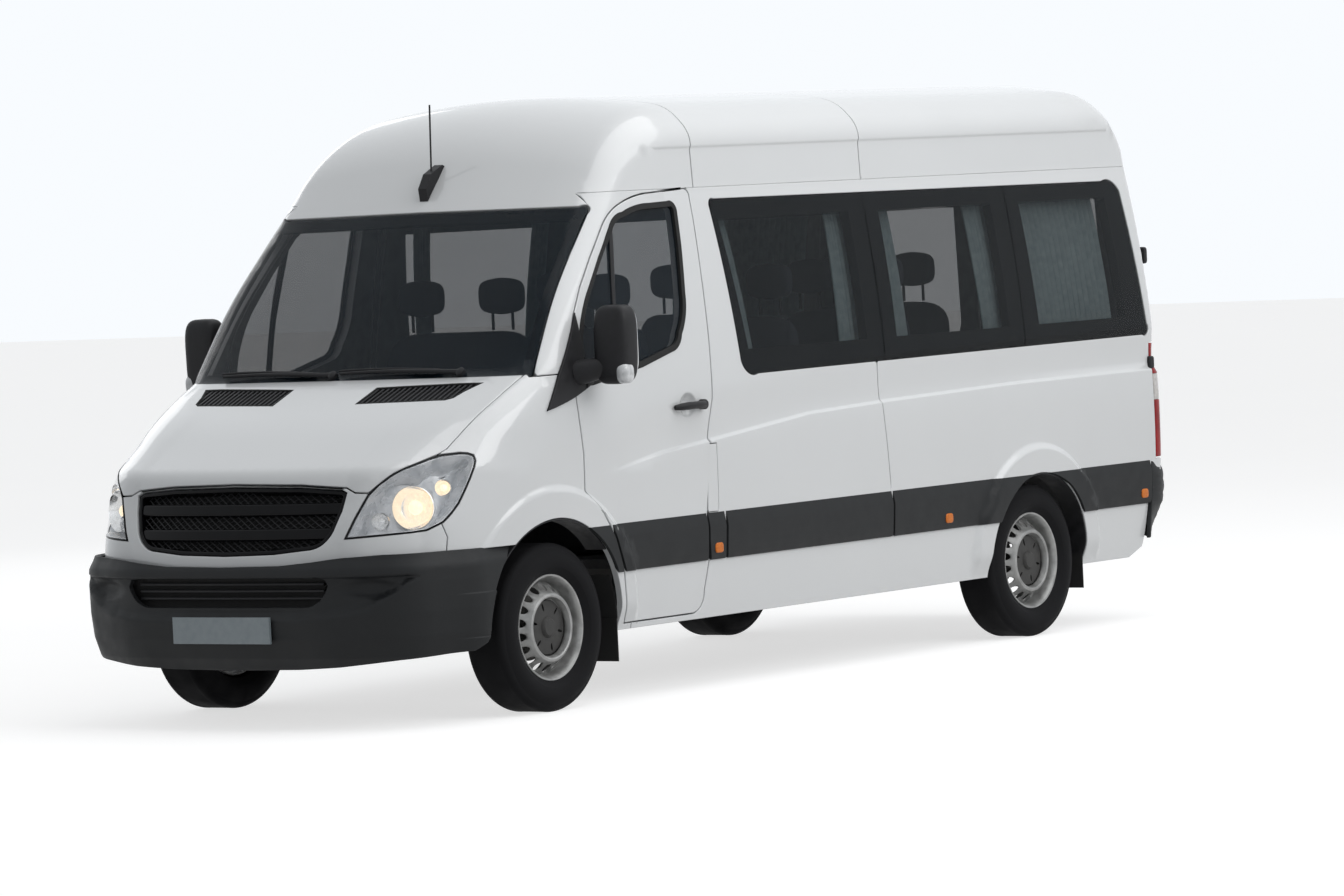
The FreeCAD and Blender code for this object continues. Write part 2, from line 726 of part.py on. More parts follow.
def bumper_form(inset, top):
    side_view = [
        (2150, top),
        (2880, top),
        (2880, BUMPER_TOP),
        (2936, 694, 2944, 610),
        (2951, 480, 2940, 350),
        (2925, 262, 2870, 250),
        (2150, 268),
    ]
    side = along_y(side_view, -1100, 1100, -inset)
    return side.common(along_z(mirrored_outline(BUMPER_PLAN_HALF), 100, 1000, -inset))


INTAKE_YZ = [(-470, 640), (470, 640), (405, 524), (-405, 524)]
bumper_solid = bumper_form(0.0, BUMPER_TOP + 40.0).common(box(2000, 3000, -1100, 1100, 0, BUMPER_TOP))
bumper = bumper_solid.cut(bumper_form(34.0, BUMPER_TOP + 200.0))
bumper = bumper.cut(FRONT_SPACE).cut(mirrored(FRONT_SPACE)).cut(box(2000, 2252, -1100, 1100, 0, 900))
bumper = bumper.cut(along_x(INTAKE_YZ, 2600, 3000))
bars = bumper_form(14.0, BUMPER_TOP + 40.0).cut(bumper_form(34.0, BUMPER_TOP + 40.0))
louvres = [bars.common(box(2600, 3000, -500, 500, z, z + 12)) for z in (548, 578, 608)]
ribs = [bars.common(box(2600, 3000, y - 6, y + 6, 520, 645)) for y in (-315, -105, 105, 315)]
beam = box(2790, 2850, -620, 620, 430, 550)
ties = [box(2830, 2920, y, y + 60, 440, 540) for y in (-600, 540)]
bumper = bumper.fuse(louvres + ribs + [beam] + ties).removeSplitter()
save("front_bumper", bumper)

REAR_BUMPER_PLAN = [
    (-2728, 950),
    (-2728, 990),
    (-2800, 988),
    (-2900, 966, -2926, 860),
    (-2952, 500),
    (-2952, -500),
    (-2926, -860),
    (-2900, -966, -2800, -988),
    (-2728, -990),
    (-2728, -950),
    (-2790, -940),
    (-2815, -900),
    (-2815, 900),
    (-2790, 940),
]
REAR_CORNER_PLAN = [
    (-2728, 930),
    (-2728, 988),
    (-2800, 984),
    (-2846, 960, REAR_FACE_X, 890),
    (REAR_FACE_X, REAR_HINGE_Y + 8),
    (-2812, REAR_HINGE_Y + 8),
    (-2812, 900),
    (-2790, 930),
]
rear_bumper = along_z(REAR_BUMPER_PLAN, 380, 590)
corner = along_z(REAR_CORNER_PLAN, 590, 748 - SEAT_GAP)
rear_bumper = rear_bumper.fuse([corner, mirrored(corner)])
save("rear_bumper", rear_bumper.removeSplitter())

# Lamps, mouldings and markers

save("tail_lamps", pair(SHELL.common(TAIL_LAMP)))

PROUD = body_form(-16.0)
strip = PROUD.cut(OUTER).common(box(-2800, 1500, 900, 1100, 548, 752)).cut(LEFT_WALL).cut(REAR_SPACE)
SEGMENTS = [(738, 846), (-542, 724), (-1425, -554), (-2724, -2045)]
side_strips = []
for x0, x1 in SEGMENTS:
    side_strips.append(strip.common(box(x0, x1, 900, 1100, 500, 800)))
group = []
for piece in side_strips:
    group += piece.Solids + mirrored(piece).Solids
save("side_mouldings", Part.makeCompound(group))
door_strip = strip.common(along_y(DOOR, 900, 1100, -8.0))
save("door_moulding_left", door_strip)
save("door_moulding_right", mirrored(door_strip))

markers = []
for x in (792.0, -990.0, -2660.0):
    puck = rod_y(x, 598.0, 19.0, 940, 1003).cut(PROUD)
    markers += puck.Solids + mirrored(puck).Solids
save("side_markers", Part.makeCompound(markers), 100.0)

# Wheels and knuckles

TYRE_PROFILE = [
    (RIM_RADIUS, -86),
    (RIM_RADIUS + 30, -108),
    (294, -113, 326, -100),
    (346, -88, TYRE_RADIUS, -62),
    (TYRE_RADIUS, 62),
    (346, 88, 326, 100),
    (294, 113, RIM_RADIUS + 30, 108),
    (RIM_RADIUS, 86),
]
RIM_PROFILE = [
    (HUB_BORE, 20),
    (98, 20),
    (120, 34),
    (150, 40),
    (172, 30),
    (196, 6),
    (198, -84),
    (221.5, -96),
    (221.5, -85),
    (206, -70),
    (206, 70),
    (221.5, 85),
    (221.5, 96),
    (212, 96),
    (200, 78),
    (192, 44),
    (172, 46),
    (150, 56),
    (120, 50),
    (96, 44),
    (60, 44),
    (HUB_BORE, 60),
]


def revolve_wheel(profile, x, y, side):
    flat = face(profile, lambda r, w: V(x + r, y + side * w, TYRE_RADIUS))
    return flat.revolve(V(x, y, TYRE_RADIUS), V(0, 1, 0), 360)


WHEELS = [
    ("front_left", FRONT_AXLE_X, 1),
    ("front_right", FRONT_AXLE_X, -1),
    ("rear_left", REAR_AXLE_X, 1),
    ("rear_right", REAR_AXLE_X, -1),
]
for name, x, side in WHEELS:
    y = side * HALF_TRACK
    tyre = revolve_wheel(TYRE_PROFILE, x, y, side)
    rim = revolve_wheel(RIM_PROFILE, x, y, side)
    for i in range(16):
        a = math.radians(22.5 * i)
        vent = Part.makeCylinder(13, 200, V(x + 180 * math.cos(a), y - 100, TYRE_RADIUS + 180 * math.sin(a)),
                                 V(0, 1, 0))
        rim = rim.cut(vent)
    save("tyre_" + name, tyre)
    save("rim_" + name, rim)

upright = box(FRONT_AXLE_X - 30, FRONT_AXLE_X + 30, KINGPIN_Y - 28, KINGPIN_Y + 14, ARM_TOP + SEAT_GAP, 510)
stub = rod_y(FRONT_AXLE_X, TYRE_RADIUS, HUB_BORE - SEAT_GAP, KINGPIN_Y, HUB_END_Y)
disc = rod_y(FRONT_AXLE_X, TYRE_RADIUS, 140.0, KINGPIN_Y + 24, KINGPIN_Y + 48)
neck = rod_y(FRONT_AXLE_X, TYRE_RADIUS, 50.0, KINGPIN_Y, KINGPIN_Y + 30)
stem = Part.makeCylinder(18, 30, V(FRONT_AXLE_X, KINGPIN_Y, 504))
knuckle = upright.fuse([stub, disc, neck, stem]).removeSplitter()
save("knuckle_left", knuckle)
save("knuckle_right", mirrored(knuckle))

# Cabin

DASH = [
    (BULKHEAD_X - 30, 1330),
    (BULKHEAD_X - 30, 900),
    (1700, 900),
    (1600, 980),
    (1560, 1100),
    (1580, 1220),
    (1660, 1300),
]
WHEEL_CENTRE = V(1480, 470, 1290)
WHEEL_AXIS = V(-0.5145, 0, 0.8575)
COLUMN_TOP = WHEEL_CENTRE - WHEEL_AXIS * 60
dash = along_y(DASH, -895, 895).common(BEHIND_SEAL).cut(LEFT_WALL).cut(right_wall)
column = Part.makeCylinder(34, 200, COLUMN_TOP - WHEEL_AXIS * (200 + SEAT_GAP), WHEEL_AXIS)
save("dashboard", dash.fuse(column).cut(tunnel).cut(mirrored(tunnel)).removeSplitter())
ring = Part.makeTorus(195, 16, WHEEL_CENTRE, WHEEL_AXIS)
hub = Part.makeCylinder(52, 60, COLUMN_TOP, WHEEL_AXIS)
bar = rod_y(WHEEL_CENTRE.x, WHEEL_CENTRE.z, 14.0, WHEEL_CENTRE.y - 190, WHEEL_CENTRE.y + 190)
lower = Part.makeCylinder(12, 180, WHEEL_CENTRE - WHEEL_AXIS * 14, V(-0.8575, 0, -0.5145))
save("steering_wheel", ring.fuse([hub, bar, lower]).removeSplitter())


def seat(x, y, width, floor_z, rise):
    base = box(x - 210, x + 190, y - width / 2 + 60, y + width / 2 - 60, floor_z, floor_z + rise)
    cushion = box(x - 250, x + 240, y - width / 2, y + width / 2, floor_z + rise, floor_z + rise + 130)
    back = along_y([(x - 250, floor_z + rise + 60), (x - 150, floor_z + rise + 130),
                    (x - 260, floor_z + rise + 720), (x - 350, floor_z + rise + 720)], y - width / 2 + 10,
                   y + width / 2 - 10)
    return base.fuse([cushion, back])


def headrest(x, y, z):
    pad = box(x - 50, x + 50, y - 130, y + 130, z + 40, z + 210)
    stem = box(x - 12, x + 12, y - 60, y + 60, z - 20, z + 60)
    return pad.fuse(stem)


front_seats = []
for y, width in ((470.0, 520.0), (-330.0, 900.0)):
    chair = seat(1130.0, y, width, 600.0, 280.0)
    for offset in ([0.0] if width < 600 else [-225.0, 225.0]):
        chair = chair.fuse(headrest(825.0, y + offset, 1590.0))
    front_seats.append(chair.removeSplitter())
save("front_seats", Part.makeCompound(front_seats))

ROWS = [(120.0, 1), (-760.0, 1), (-1640.0, 0), (-2330.0, 0)]
benches = []
for x, full in ROWS[:3]:
    for y, width in ((420.0, 800.0), (-560.0, 440.0)):
        if x < -1500:
            y, width = (0.0, 900.0) if y > 0 else (None, None)
            if y is None:
                continue
        chair = seat(x, y, width, 600.0, 280.0)
        for k in range(int(width // 400)):
            offset = (k - (int(width // 400) - 1) / 2.0) * 400.0
            chair = chair.fuse(headrest(x - 305.0, y + offset, 1590.0))
        benches.append(chair.removeSplitter())
save("passenger_seats", Part.makeCompound(benches))

# Curtains: thin sheets hung just inside the side windows

curtains = []
for x0, x1 in ((330, 560), (-470, -330), (-860, -640), (-1640, -1430), (-2590, -1830)):
    sheet = BEHIND_SEAL.cut(body_form(WALL + 14.0)).common(box(x0, x1, 600, 1100, 1400, 2080))
    curtains += sheet.Solids + mirrored(sheet).Solids
save("curtains", Part.makeCompound(curtains))

# Aerial, wipers, plates and mud flaps

fin = along_y([(1470, 2140), (1330, 2290), (1360, 2300), (1440, 2262), (1480, 2200)], -22, 22).cut(OUTER)
mast = rod((1412, 0, 2240), (1400, 0, 2560), 4.0)
save("aerial", fin.fuse(mast).cut(OUTER).removeSplitter(), 100.0)

WIPERS = [
    (560.0, 300.0),
    (-120.0, -380.0),
]
ABOVE_GLASS = body_form(-SEAT_GAP)
wiper_parts = []
for y0, y1 in WIPERS:
    arm = rod((2022, y0, 1462), (1846, y1 + 120, 1716), 8.0)
    post = rod((2010, y0, 1420), (2034, y0, 1474), 15.0)
    blade = rod((1990, y0 - 110, 1482), (1752, y1 - 60, 1806), 9.0)
    tie = rod((1850, y1 + 118, 1712), (1862, y1 + 44, 1668), 8.0)
    wiper = arm.fuse([post, blade, tie]).cut(ABOVE_GLASS)
    wiper_parts += [s for s in wiper.Solids if s.Volume > 8000]
save("wipers", Part.makeCompound(wiper_parts))

PLATE_HALF = 260.0
plate_back = box(2900, 2955, -PLATE_HALF, PLATE_HALF, 366, 476).cut(bumper_form(0.0, BUMPER_TOP + 40.0))
rear_plate = box(-2955, -2952, -PLATE_HALF, PLATE_HALF, 430, 540)
save("number_plates", Part.makeCompound(plate_back.Solids[:1] + [rear_plate]))


# A mud flap lies against the arch behind the wheel and hangs from there
def mud_flap(axle_x, radius, top, bottom):
    outer = rod_y(axle_x, TYRE_RADIUS, radius - SEAT_GAP, 740, 950)
    inner = rod_y(axle_x, TYRE_RADIUS, radius - 7, 740, 950)
    curved = outer.cut(inner).common(box(axle_x - 500, axle_x - 200, 700, 960, TYRE_RADIUS, top))
    straight = box(axle_x - radius + 4, axle_x - radius + 10, 740, 950, bottom, TYRE_RADIUS)
    return curved.fuse(straight).removeSplitter()


front_flap = mud_flap(FRONT_AXLE_X, FRONT_ARCH_RADIUS, 540.0, 170.0)
rear_flap = mud_flap(REAR_ARCH_X, REAR_ARCH_RADIUS, 520.0, 190.0)
save("mud_flaps", Part.makeCompound([front_flap, mirrored(front_flap), rear_flap, mirrored(rear_flap)]))
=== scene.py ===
import math

import bpy
import numpy as np
from mathutils import Matrix, Vector
from mathutils.geometry import delaunay_2d_cdt


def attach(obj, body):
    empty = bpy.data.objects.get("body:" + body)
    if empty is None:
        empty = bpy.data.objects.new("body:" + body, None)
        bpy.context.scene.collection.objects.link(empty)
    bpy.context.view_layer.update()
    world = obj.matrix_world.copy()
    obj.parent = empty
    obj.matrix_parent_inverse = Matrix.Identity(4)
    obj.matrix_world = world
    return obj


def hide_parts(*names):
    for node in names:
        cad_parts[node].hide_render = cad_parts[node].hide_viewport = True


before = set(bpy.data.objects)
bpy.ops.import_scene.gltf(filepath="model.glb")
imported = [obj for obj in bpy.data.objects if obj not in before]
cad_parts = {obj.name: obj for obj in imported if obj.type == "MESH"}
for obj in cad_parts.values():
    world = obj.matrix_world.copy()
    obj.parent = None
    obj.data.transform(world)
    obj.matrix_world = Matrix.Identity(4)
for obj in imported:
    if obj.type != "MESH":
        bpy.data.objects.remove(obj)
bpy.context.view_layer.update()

# A high-roof minibus. Tables are in millimetres and everything else is in metres.

MM = 0.001
FRONT_AXLE_X = 1.951
REAR_AXLE_X = -1.714
AXLE_Z = 0.352
FRONT_ARCH = 0.455
REAR_ARCH_X = -1.744
REAR_ARCH = 0.404
ARCHES = ((FRONT_AXLE_X, FRONT_ARCH), (REAR_ARCH_X, REAR_ARCH))
LIP_WIDTH = 0.145
SHUT_GAP = 0.006
WALL = 0.056
ROOF_WALL = 0.040
SKIN_EDGE = 0.004
WING_GAP = 0.004
# The spacing of the mesh on small or hidden panels
COARSE = (0.05, 0.05)
# A profile turned round an axis starts and ends this far off it.
TIP = 0.0005


# Outlines of straight runs and arcs

def arc_centre(a, b, c):
    """The centre of the circle through three points."""
    d = 2.0 * (a[0] * (b[1] - c[1]) + b[0] * (c[1] - a[1]) + c[0] * (a[1] - b[1]))
    qa, qb, qc = (p[0] ** 2 + p[1] ** 2 for p in (a, b, c))
    u = (qa * (b[1] - c[1]) + qb * (c[1] - a[1]) + qc * (a[1] - b[1])) / d
    v = (qa * (c[0] - b[0]) + qb * (a[0] - c[0]) + qc * (b[0] - a[0])) / d
    return np.array([u, v])


def sampled(points, step=18.0, closed=True):
    """Points in metres along an outline in millimetres: (u, v) ends a straight run, (mid u, mid v, u, v) an arc."""
    entries = list(points[1:])
    if closed:
        entries.append(tuple(points[0][-2:]))
    last = np.array(points[0][-2:], float)
    out = [last]
    for entry in entries:
        end = np.array(entry[-2:], float)
        if len(entry) == 2:
            count = max(1, math.ceil(np.linalg.norm(end - last) / step))
            out += [last + (end - last) * i / count for i in range(1, count + 1)]
        else:
            middle = np.array(entry[:2], float)
            centre = arc_centre(last, middle, end)
            angles = [math.atan2(*(p - centre)[::-1]) for p in (last, middle, end)]
            first = (angles[1] - angles[0] + math.pi) % (2 * math.pi) - math.pi
            second = (angles[2] - angles[1] + math.pi) % (2 * math.pi) - math.pi
            sweep = first + second
            radius = np.linalg.norm(last - centre)
            count = max(2, math.ceil(abs(sweep) * radius / step), math.ceil(abs(sweep) / 0.14))
            for i in range(1, count + 1):
                a = angles[0] + sweep * i / count
                out.append(centre + radius * np.array([math.cos(a), math.sin(a)]))
            out[-1] = end
        last = end
    if closed:
        out.pop()
    return np.array(out) * MM


def offset(loop, distance):
    """A closed loop moved outwards by a distance."""
    ahead = np.roll(loop, -1, axis=0) - loop
    length = np.linalg.norm(ahead, axis=1, keepdims=True)
    keep = length[:, 0] > 1e-7
    loop, ahead = loop[keep], ahead[keep] / length[keep]
    behind = np.roll(ahead, 1, axis=0)
    turn = np.sum(loop[:, 0] * np.roll(loop[:, 1], -1) - loop[:, 1] * np.roll(loop[:, 0], -1))
    side = 1.0 if turn > 0 else -1.0
    n1 = np.stack([behind[:, 1], -behind[:, 0]], 1) * side
    n2 = np.stack([ahead[:, 1], -ahead[:, 0]], 1) * side
    return loop + (n1 + n2) * distance / np.maximum(1.0 + np.sum(n1 * n2, 1, keepdims=True), 0.4)


def circle(u, v, radius, count=96):
    """Points round a circle."""
    a = np.arange(count) * 2 * math.pi / count
    return np.stack([u + radius * np.cos(a), v + radius * np.sin(a)], 1)


def inside(points, loop):
    """Which points lie inside a closed loop: a ray from them crosses it an odd number of times."""
    u, v = points[:, 0], points[:, 1]
    result = np.zeros(len(points), bool)
    for a, b in zip(loop, np.roll(loop, -1, axis=0)):
        if abs(a[1] - b[1]) < 1e-12:
            continue
        crosses = (a[1] > v) != (b[1] > v)
        result ^= crosses & (u < (b[0] - a[0]) * (v - a[1]) / (b[1] - a[1]) + a[0])
    return result


def step_up(low, high, value):
    """0 below low and 1 above high, with a smooth S between them."""
    t = np.clip((value - low) / (high - low), 0.0, 1.0)
    return t * t * (3 - 2 * t)


class Chain:
    """Straight runs between corners (u, v, radius) in millimetres, with rounded corners.

    Its distance is positive on the right of the way it runs.
    """

    def __init__(self, corners, closed=False):
        spots = np.array([c[:2] for c in corners], float) * MM
        radii = [c[2] * MM if len(c) > 2 else 0.0 for c in corners]
        count = len(spots)
        arrive, leave = spots.copy(), spots.copy()
        self.arcs = []
        for i in range(count):
            if radii[i] == 0.0 or (not closed and i in (0, count - 1)):
                continue
            before = spots[i] - spots[i - 1]
            after = spots[(i + 1) % count] - spots[i]
            before /= np.linalg.norm(before)
            after /= np.linalg.norm(after)
            turn = math.atan2(before[0] * after[1] - before[1] * after[0], before @ after)
            reach = radii[i] * math.tan(abs(turn) / 2)
            arrive[i] = spots[i] - before * reach
            leave[i] = spots[i] + after * reach
            side = 1.0 if turn > 0 else -1.0
            centre = arrive[i] + np.array([-before[1], before[0]]) * side * radii[i]
            middle = (arrive[i] + leave[i]) / 2 - centre
            self.arcs.append((centre, radii[i], math.atan2(middle[1], middle[0]), abs(turn) / 2 + 1e-6, side))
        self.lines = []
        for i in range(count if closed else count - 1):
            start, end = leave[i], arrive[(i + 1) % count]
            length = np.linalg.norm(end - start)
            if length > 1e-9 and (end - start) @ (spots[(i + 1) % count] - spots[i]) > 0:
                self.lines.append((start, (end - start) / length, length))

    def distance(self, u, v):
        """The signed distance to the nearest run or arc."""
        best = np.full(u.shape, 1e9)
        result = np.full(u.shape, 1e9)
        for start, way, length in self.lines:
            du, dv = u - start[0], v - start[1]
            t = np.clip(du * way[0] + dv * way[1], 0.0, length)
            d = np.hypot(du - way[0] * t, dv - way[1] * t)
            side = du * way[1] - dv * way[0]
            nearer = d < best
            result = np.where(nearer, np.where(side > 0, d, -d), result)
            best = np.where(nearer, d, best)
        for centre, radius, middle, half, sign in self.arcs:
            du, dv = u - centre[0], v - centre[1]
            r = np.hypot(du, dv)
            angle = np.arctan2(dv, du) - middle
            angle = np.abs((angle + math.pi) % (2 * math.pi) - math.pi)
            d = np.where(angle <= half, np.abs(r - radius), 1e9)
            nearer = d < best
            result = np.where(nearer, (r - radius) * sign, result)
            best = np.where(nearer, d, best)
        return result


# The form of the body: a cross-section and a side view, rounded where they meet

SIDE_VIEW = Chain([
    (2905, -300),
    (2905, 762, 600),
    (2806, 1056, 110),
    (2450, 1246, 2600),
    (2040, 1415),
    (1784, 1772, 3500),
    (1110, 2572, 760),
    (-2803, 2572, 300),
    (-2862, 1100, 3000),
    (-2862, -300),
], closed=True)

SECTION = Chain([
    (886, -200),
    (1054, 1225, 5940),
    (872, 2150, 400),
    (820, 2800),
])

PLAN_FRONT = sampled([
    (2916, 0),
    (2904, 300, 2864, 560),
    (2806, 744, 2690, 850),
    (2590, 920, 2450, 966),
    (2180, 1000, 1800, 1010),
], 4.0, closed=False)

BELT = np.array([(2600, 860), (2200, 930), (1477, 971), (1157, 1023), (814, 1053), (63, 1127), (-564, 1148),
                 (-1588, 1170), (-2900, 1180)]) * MM


def smooth_max(a, b, k):
    """The larger of two values, with the crease between them rounded over a width k."""
    h = np.maximum(k - np.abs(a - b), 0.0) / k
    return np.maximum(a, b) + h * h * k / 4


def body_relief(x, y, z):
    """How far the pressed features stand out of the plain side.

    They are the arch lips, the crease under the windows, the handle dish and the step along the roof side.
    """
    flank = step_up(0.78, 0.84, y)
    rise = np.zeros_like(x)
    for place, radius in ARCHES:
        r = np.hypot(x - place, z - AXLE_Z)
        rise += 0.026 * (1 - step_up(radius + LIP_WIDTH - 0.042, radius + LIP_WIDTH, r)) * step_up(0.30, 0.42, z)
    above = z - np.interp(-x, -BELT[:, 0], BELT[:, 1])
    rise -= 0.016 * step_up(0.0, 0.020, above) * (1 - step_up(0.03, 0.24, above)) * (1 - step_up(1.15, 1.60, x))
    rise -= 0.024 * (1 - step_up(0.020, 0.058, np.hypot((x - 0.958) / 1.15, z - 1.222)))
    shoulder = z - 2.325
    rise += 0.008 * step_up(-0.008, 0.008, shoulder) * (1 - step_up(0.9, 1.15, x)) * step_up(-2.78, -2.66, x) * (
        1 - step_up(0.03, 0.18, shoulder))
    return rise * flank


def body(p):
    """Signed distance, more or less, to the body.

    It is the larger of the cross-section's and the side view's, blended where they meet. The side view is bent
    back towards the corners of the nose and dropped towards the sides of the roof.
    """
    x, y, z = p[..., 0], np.abs(p[..., 1]), p[..., 2]
    bow = PLAN_FRONT[0, 0] - np.interp(y, PLAN_FRONT[:, 1], PLAN_FRONT[:, 0])
    bow = bow * (1.0 - 0.80 * step_up(1.00, 1.45, z)) * step_up(0.0, 0.6, x)
    drop = 0.11 * y ** 2 * step_up(1.6, 2.4, z)
    high = step_up(2.2, 2.45, z)
    ends = step_up(0.75, 1.25, x) + step_up(-2.30, -2.65, x)
    edge = 0.10 - 0.04 * step_up(-1.0, -2.4, x) * (1 - high) + 0.10 * high * (1 - 0.6 * ends)
    whole = smooth_max(SECTION.distance(y, z), SIDE_VIEW.distance(x + bow, z + drop), edge)
    return whole - body_relief(x, y, z)


GRADIENT_STEP = 4e-4


def normals(form, p):
    """The form's unit gradient at each point, from differences over a small step along each axis."""
    shift = np.eye(3) * GRADIENT_STEP
    g = np.stack([form(p + s) - form(p - s) for s in shift], -1)
    return g / np.maximum(np.linalg.norm(g, axis=-1, keepdims=True), 1e-12)


HALVINGS = 21


class View:
    """A flat map of a form's surface, with axes u and v across it and w along its rays.

    Inside its core rectangle it looks straight along w. Past the core's edges its rays fan out, so that it goes
    round the form's corners.
    """

    def __init__(self, form, axes, core, base, top, turn=0.5):
        self.form = form
        self.axes = np.array(axes, float)
        self.axes /= np.linalg.norm(self.axes, axis=1, keepdims=True)
        self.core = core
        self.base = base
        self.top = top
        self.turn = turn

    def rays(self, uv):
        """Where each point's ray starts, and which way it goes."""
        held = np.clip(uv, self.core[::2], self.core[1::2])
        past = uv - held
        size = np.linalg.norm(past, axis=1, keepdims=True)
        angle = size / self.turn
        flat = past / np.maximum(size, 1e-12) * np.sin(angle)
        start = np.concatenate([held, np.full((len(uv), 1), self.base)], 1) @ self.axes
        way = np.concatenate([flat, np.cos(angle)], 1) @ self.axes
        return start, way

    def solve(self, uv):
        """The surface's point on each ray, found by halving the stretch that holds it."""
        start, way = self.rays(np.asarray(uv, float))
        low = np.zeros(len(uv))
        high = np.full(len(uv), self.top)
        for _ in range(HALVINGS):
            middle = (low + high) / 2
            out = self.form(start + way * middle[:, None]) > 0
            high = np.where(out, middle, high)
            low = np.where(out, low, middle)
        return start + way * ((low + high) / 2)[:, None]

    def plane(self, p):
        """The map's point for each point in space: the inverse of rays."""
        q = p @ self.axes.T
        held = np.clip(q[:, :2], self.core[::2], self.core[1::2])
        past = q[:, :2] - held
        size = np.linalg.norm(past, axis=1, keepdims=True)
        angle = np.arctan2(size[:, 0], q[:, 2] - self.base)[:, None]
        return held + past / np.maximum(size, 1e-12) * angle * self.turn


# Cores are (u from, u to, v from, v to). A flat map's core is so wide that its rays never fan out.
FAR = 9.0
FLAT = (-FAR, FAR, -FAR, FAR)
SIDE_CORE = (-2.70, 1.40, -FAR, FAR)
NOSE_CORE = (-0.55, 0.55, -FAR, FAR)
LEFTWARDS = ((1, 0, 0), (0, 0, 1), (0, 1, 0))
FORWARDS = ((0, 1, 0), (0, 0, 1), (1, 0, 0))
BACKWARDS = ((0, 1, 0), (0, 0, 1), (-1, 0, 0))
UPWARDS = ((1, 0, 0), (0, 1, 0), (0, 0, 1))
OFF_THE_BONNET = ((0.8, 0, -0.6), (0, 1, 0), (0.6, 0, 0.8))
LEFT = View(body, LEFTWARDS, FLAT, 0.3, 1.2)
FRONT = View(body, FORWARDS, FLAT, 0.4, 3.0)
BACK = View(body, BACKWARDS, FLAT, 2.0, 1.4)
SIDE = View(body, LEFTWARDS, SIDE_CORE, 0.60, 1.6)
WING = View(body, LEFTWARDS, (-FAR, 2.10, -FAR, 1.15), 0.45, 1.6)
ROOF = View(body, UPWARDS, (-2.45, 0.90, -0.45, 0.45), 2.00, 2.0)
HOOD = View(body, OFF_THE_BONNET, FLAT, 1.6, 2.0)
NOSE = View(body, FORWARDS, NOSE_CORE, 2.20, 1.6)


# Meshes. A part is (points, triangles, the normal at each triangle's corners or None, material numbers).

def merged(parts):
    """One mesh from parts, with equal points joined and flattened triangles left out."""
    points = np.concatenate([p[0] for p in parts])
    _, first, back = np.unique(np.round(points / 2e-5).astype(np.int64), axis=0, return_index=True,
                               return_inverse=True)
    back = back.reshape(-1)
    starts = np.cumsum([0] + [len(p[0]) for p in parts])
    faces = back[np.concatenate([np.asarray(p[1]) + start for p, start in zip(parts, starts)])]
    materials = np.concatenate([np.broadcast_to(p[3], len(p[1])) for p in parts])
    whole = (faces[:, 0] != faces[:, 1]) & (faces[:, 1] != faces[:, 2]) & (faces[:, 2] != faces[:, 0])
    around = None
    if parts[0][2] is not None:
        around = np.concatenate([p[2] for p in parts])[whole]
    return points[first], faces[whole], around, materials[whole]


def mesh_object(name, parts, finish, sharp=38.0):
    """A mesh from parts, with their own normals or else with the creases above an angle kept sharp."""
    points, faces, around, materials = merged(parts)
    mesh = bpy.data.meshes.new(name)
    mesh.vertices.add(len(points))
    mesh.vertices.foreach_set("co", points.reshape(-1).astype(np.float32))
    mesh.loops.add(faces.size)
    mesh.loops.foreach_set("vertex_index", faces.reshape(-1).astype(np.int32))
    mesh.polygons.add(len(faces))
    mesh.polygons.foreach_set("loop_start", np.arange(len(faces), dtype=np.int32) * 3)
    mesh.polygons.foreach_set("material_index", materials.astype(np.int32))
    mesh.polygons.foreach_set("use_smooth", np.ones(len(faces), bool))
    mesh.update(calc_edges=True)
    if around is not None:
        mesh.normals_split_custom_set(around.reshape(-1, 3).astype(np.float32))
    else:
        mesh.set_sharp_from_angle(angle=math.radians(sharp))
    obj = bpy.data.objects.new(name, mesh)
    bpy.context.scene.collection.objects.link(obj)
    for one in finish:
        mesh.materials.append(one)
    return obj


def piece(name, rides, nodes, parts, finish, sharp=38.0):
    """A visible piece: the body it rides, the solids it stands for, its parts, finishes and the angle of its sharp
    creases.
    """
    obj = mesh_object(name, parts, finish, sharp)
    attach(obj, rides)
    if nodes:
        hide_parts(*nodes)
    return obj


def grid_part(points, wrap=False, ends=False, turned=False, kind=0):
    """Two triangles in each square of an (m, n, 3) grid.

    The second way wraps round if asked, and the first and last rows are closed if asked.
    """
    m, n = points.shape[:2]
    number = np.arange(m * n).reshape(m, n)
    beside = np.roll(number, -1, axis=1) if wrap else number[:, 1:]
    here = number if wrap else number[:, :-1]
    a, b, c, d = here[:-1], beside[:-1], beside[1:], here[1:]
    faces = np.concatenate([np.stack([a, b, c], -1).reshape(-1, 3), np.stack([a, c, d], -1).reshape(-1, 3)])
    spots = points.reshape(-1, 3)
    if ends:
        middles = np.stack([points[0].mean(0), points[-1].mean(0)])
        spots = np.concatenate([spots, middles])
        low, high = number[0], number[-1]
        first = np.stack([np.full(n, m * n), np.roll(low, -1), low], 1)
        last = np.stack([np.full(n, m * n + 1), high, np.roll(high, -1)], 1)
        faces = np.concatenate([faces, first, last])
    if turned:
        faces = faces[:, ::-1]
    return spots, faces, None, kind


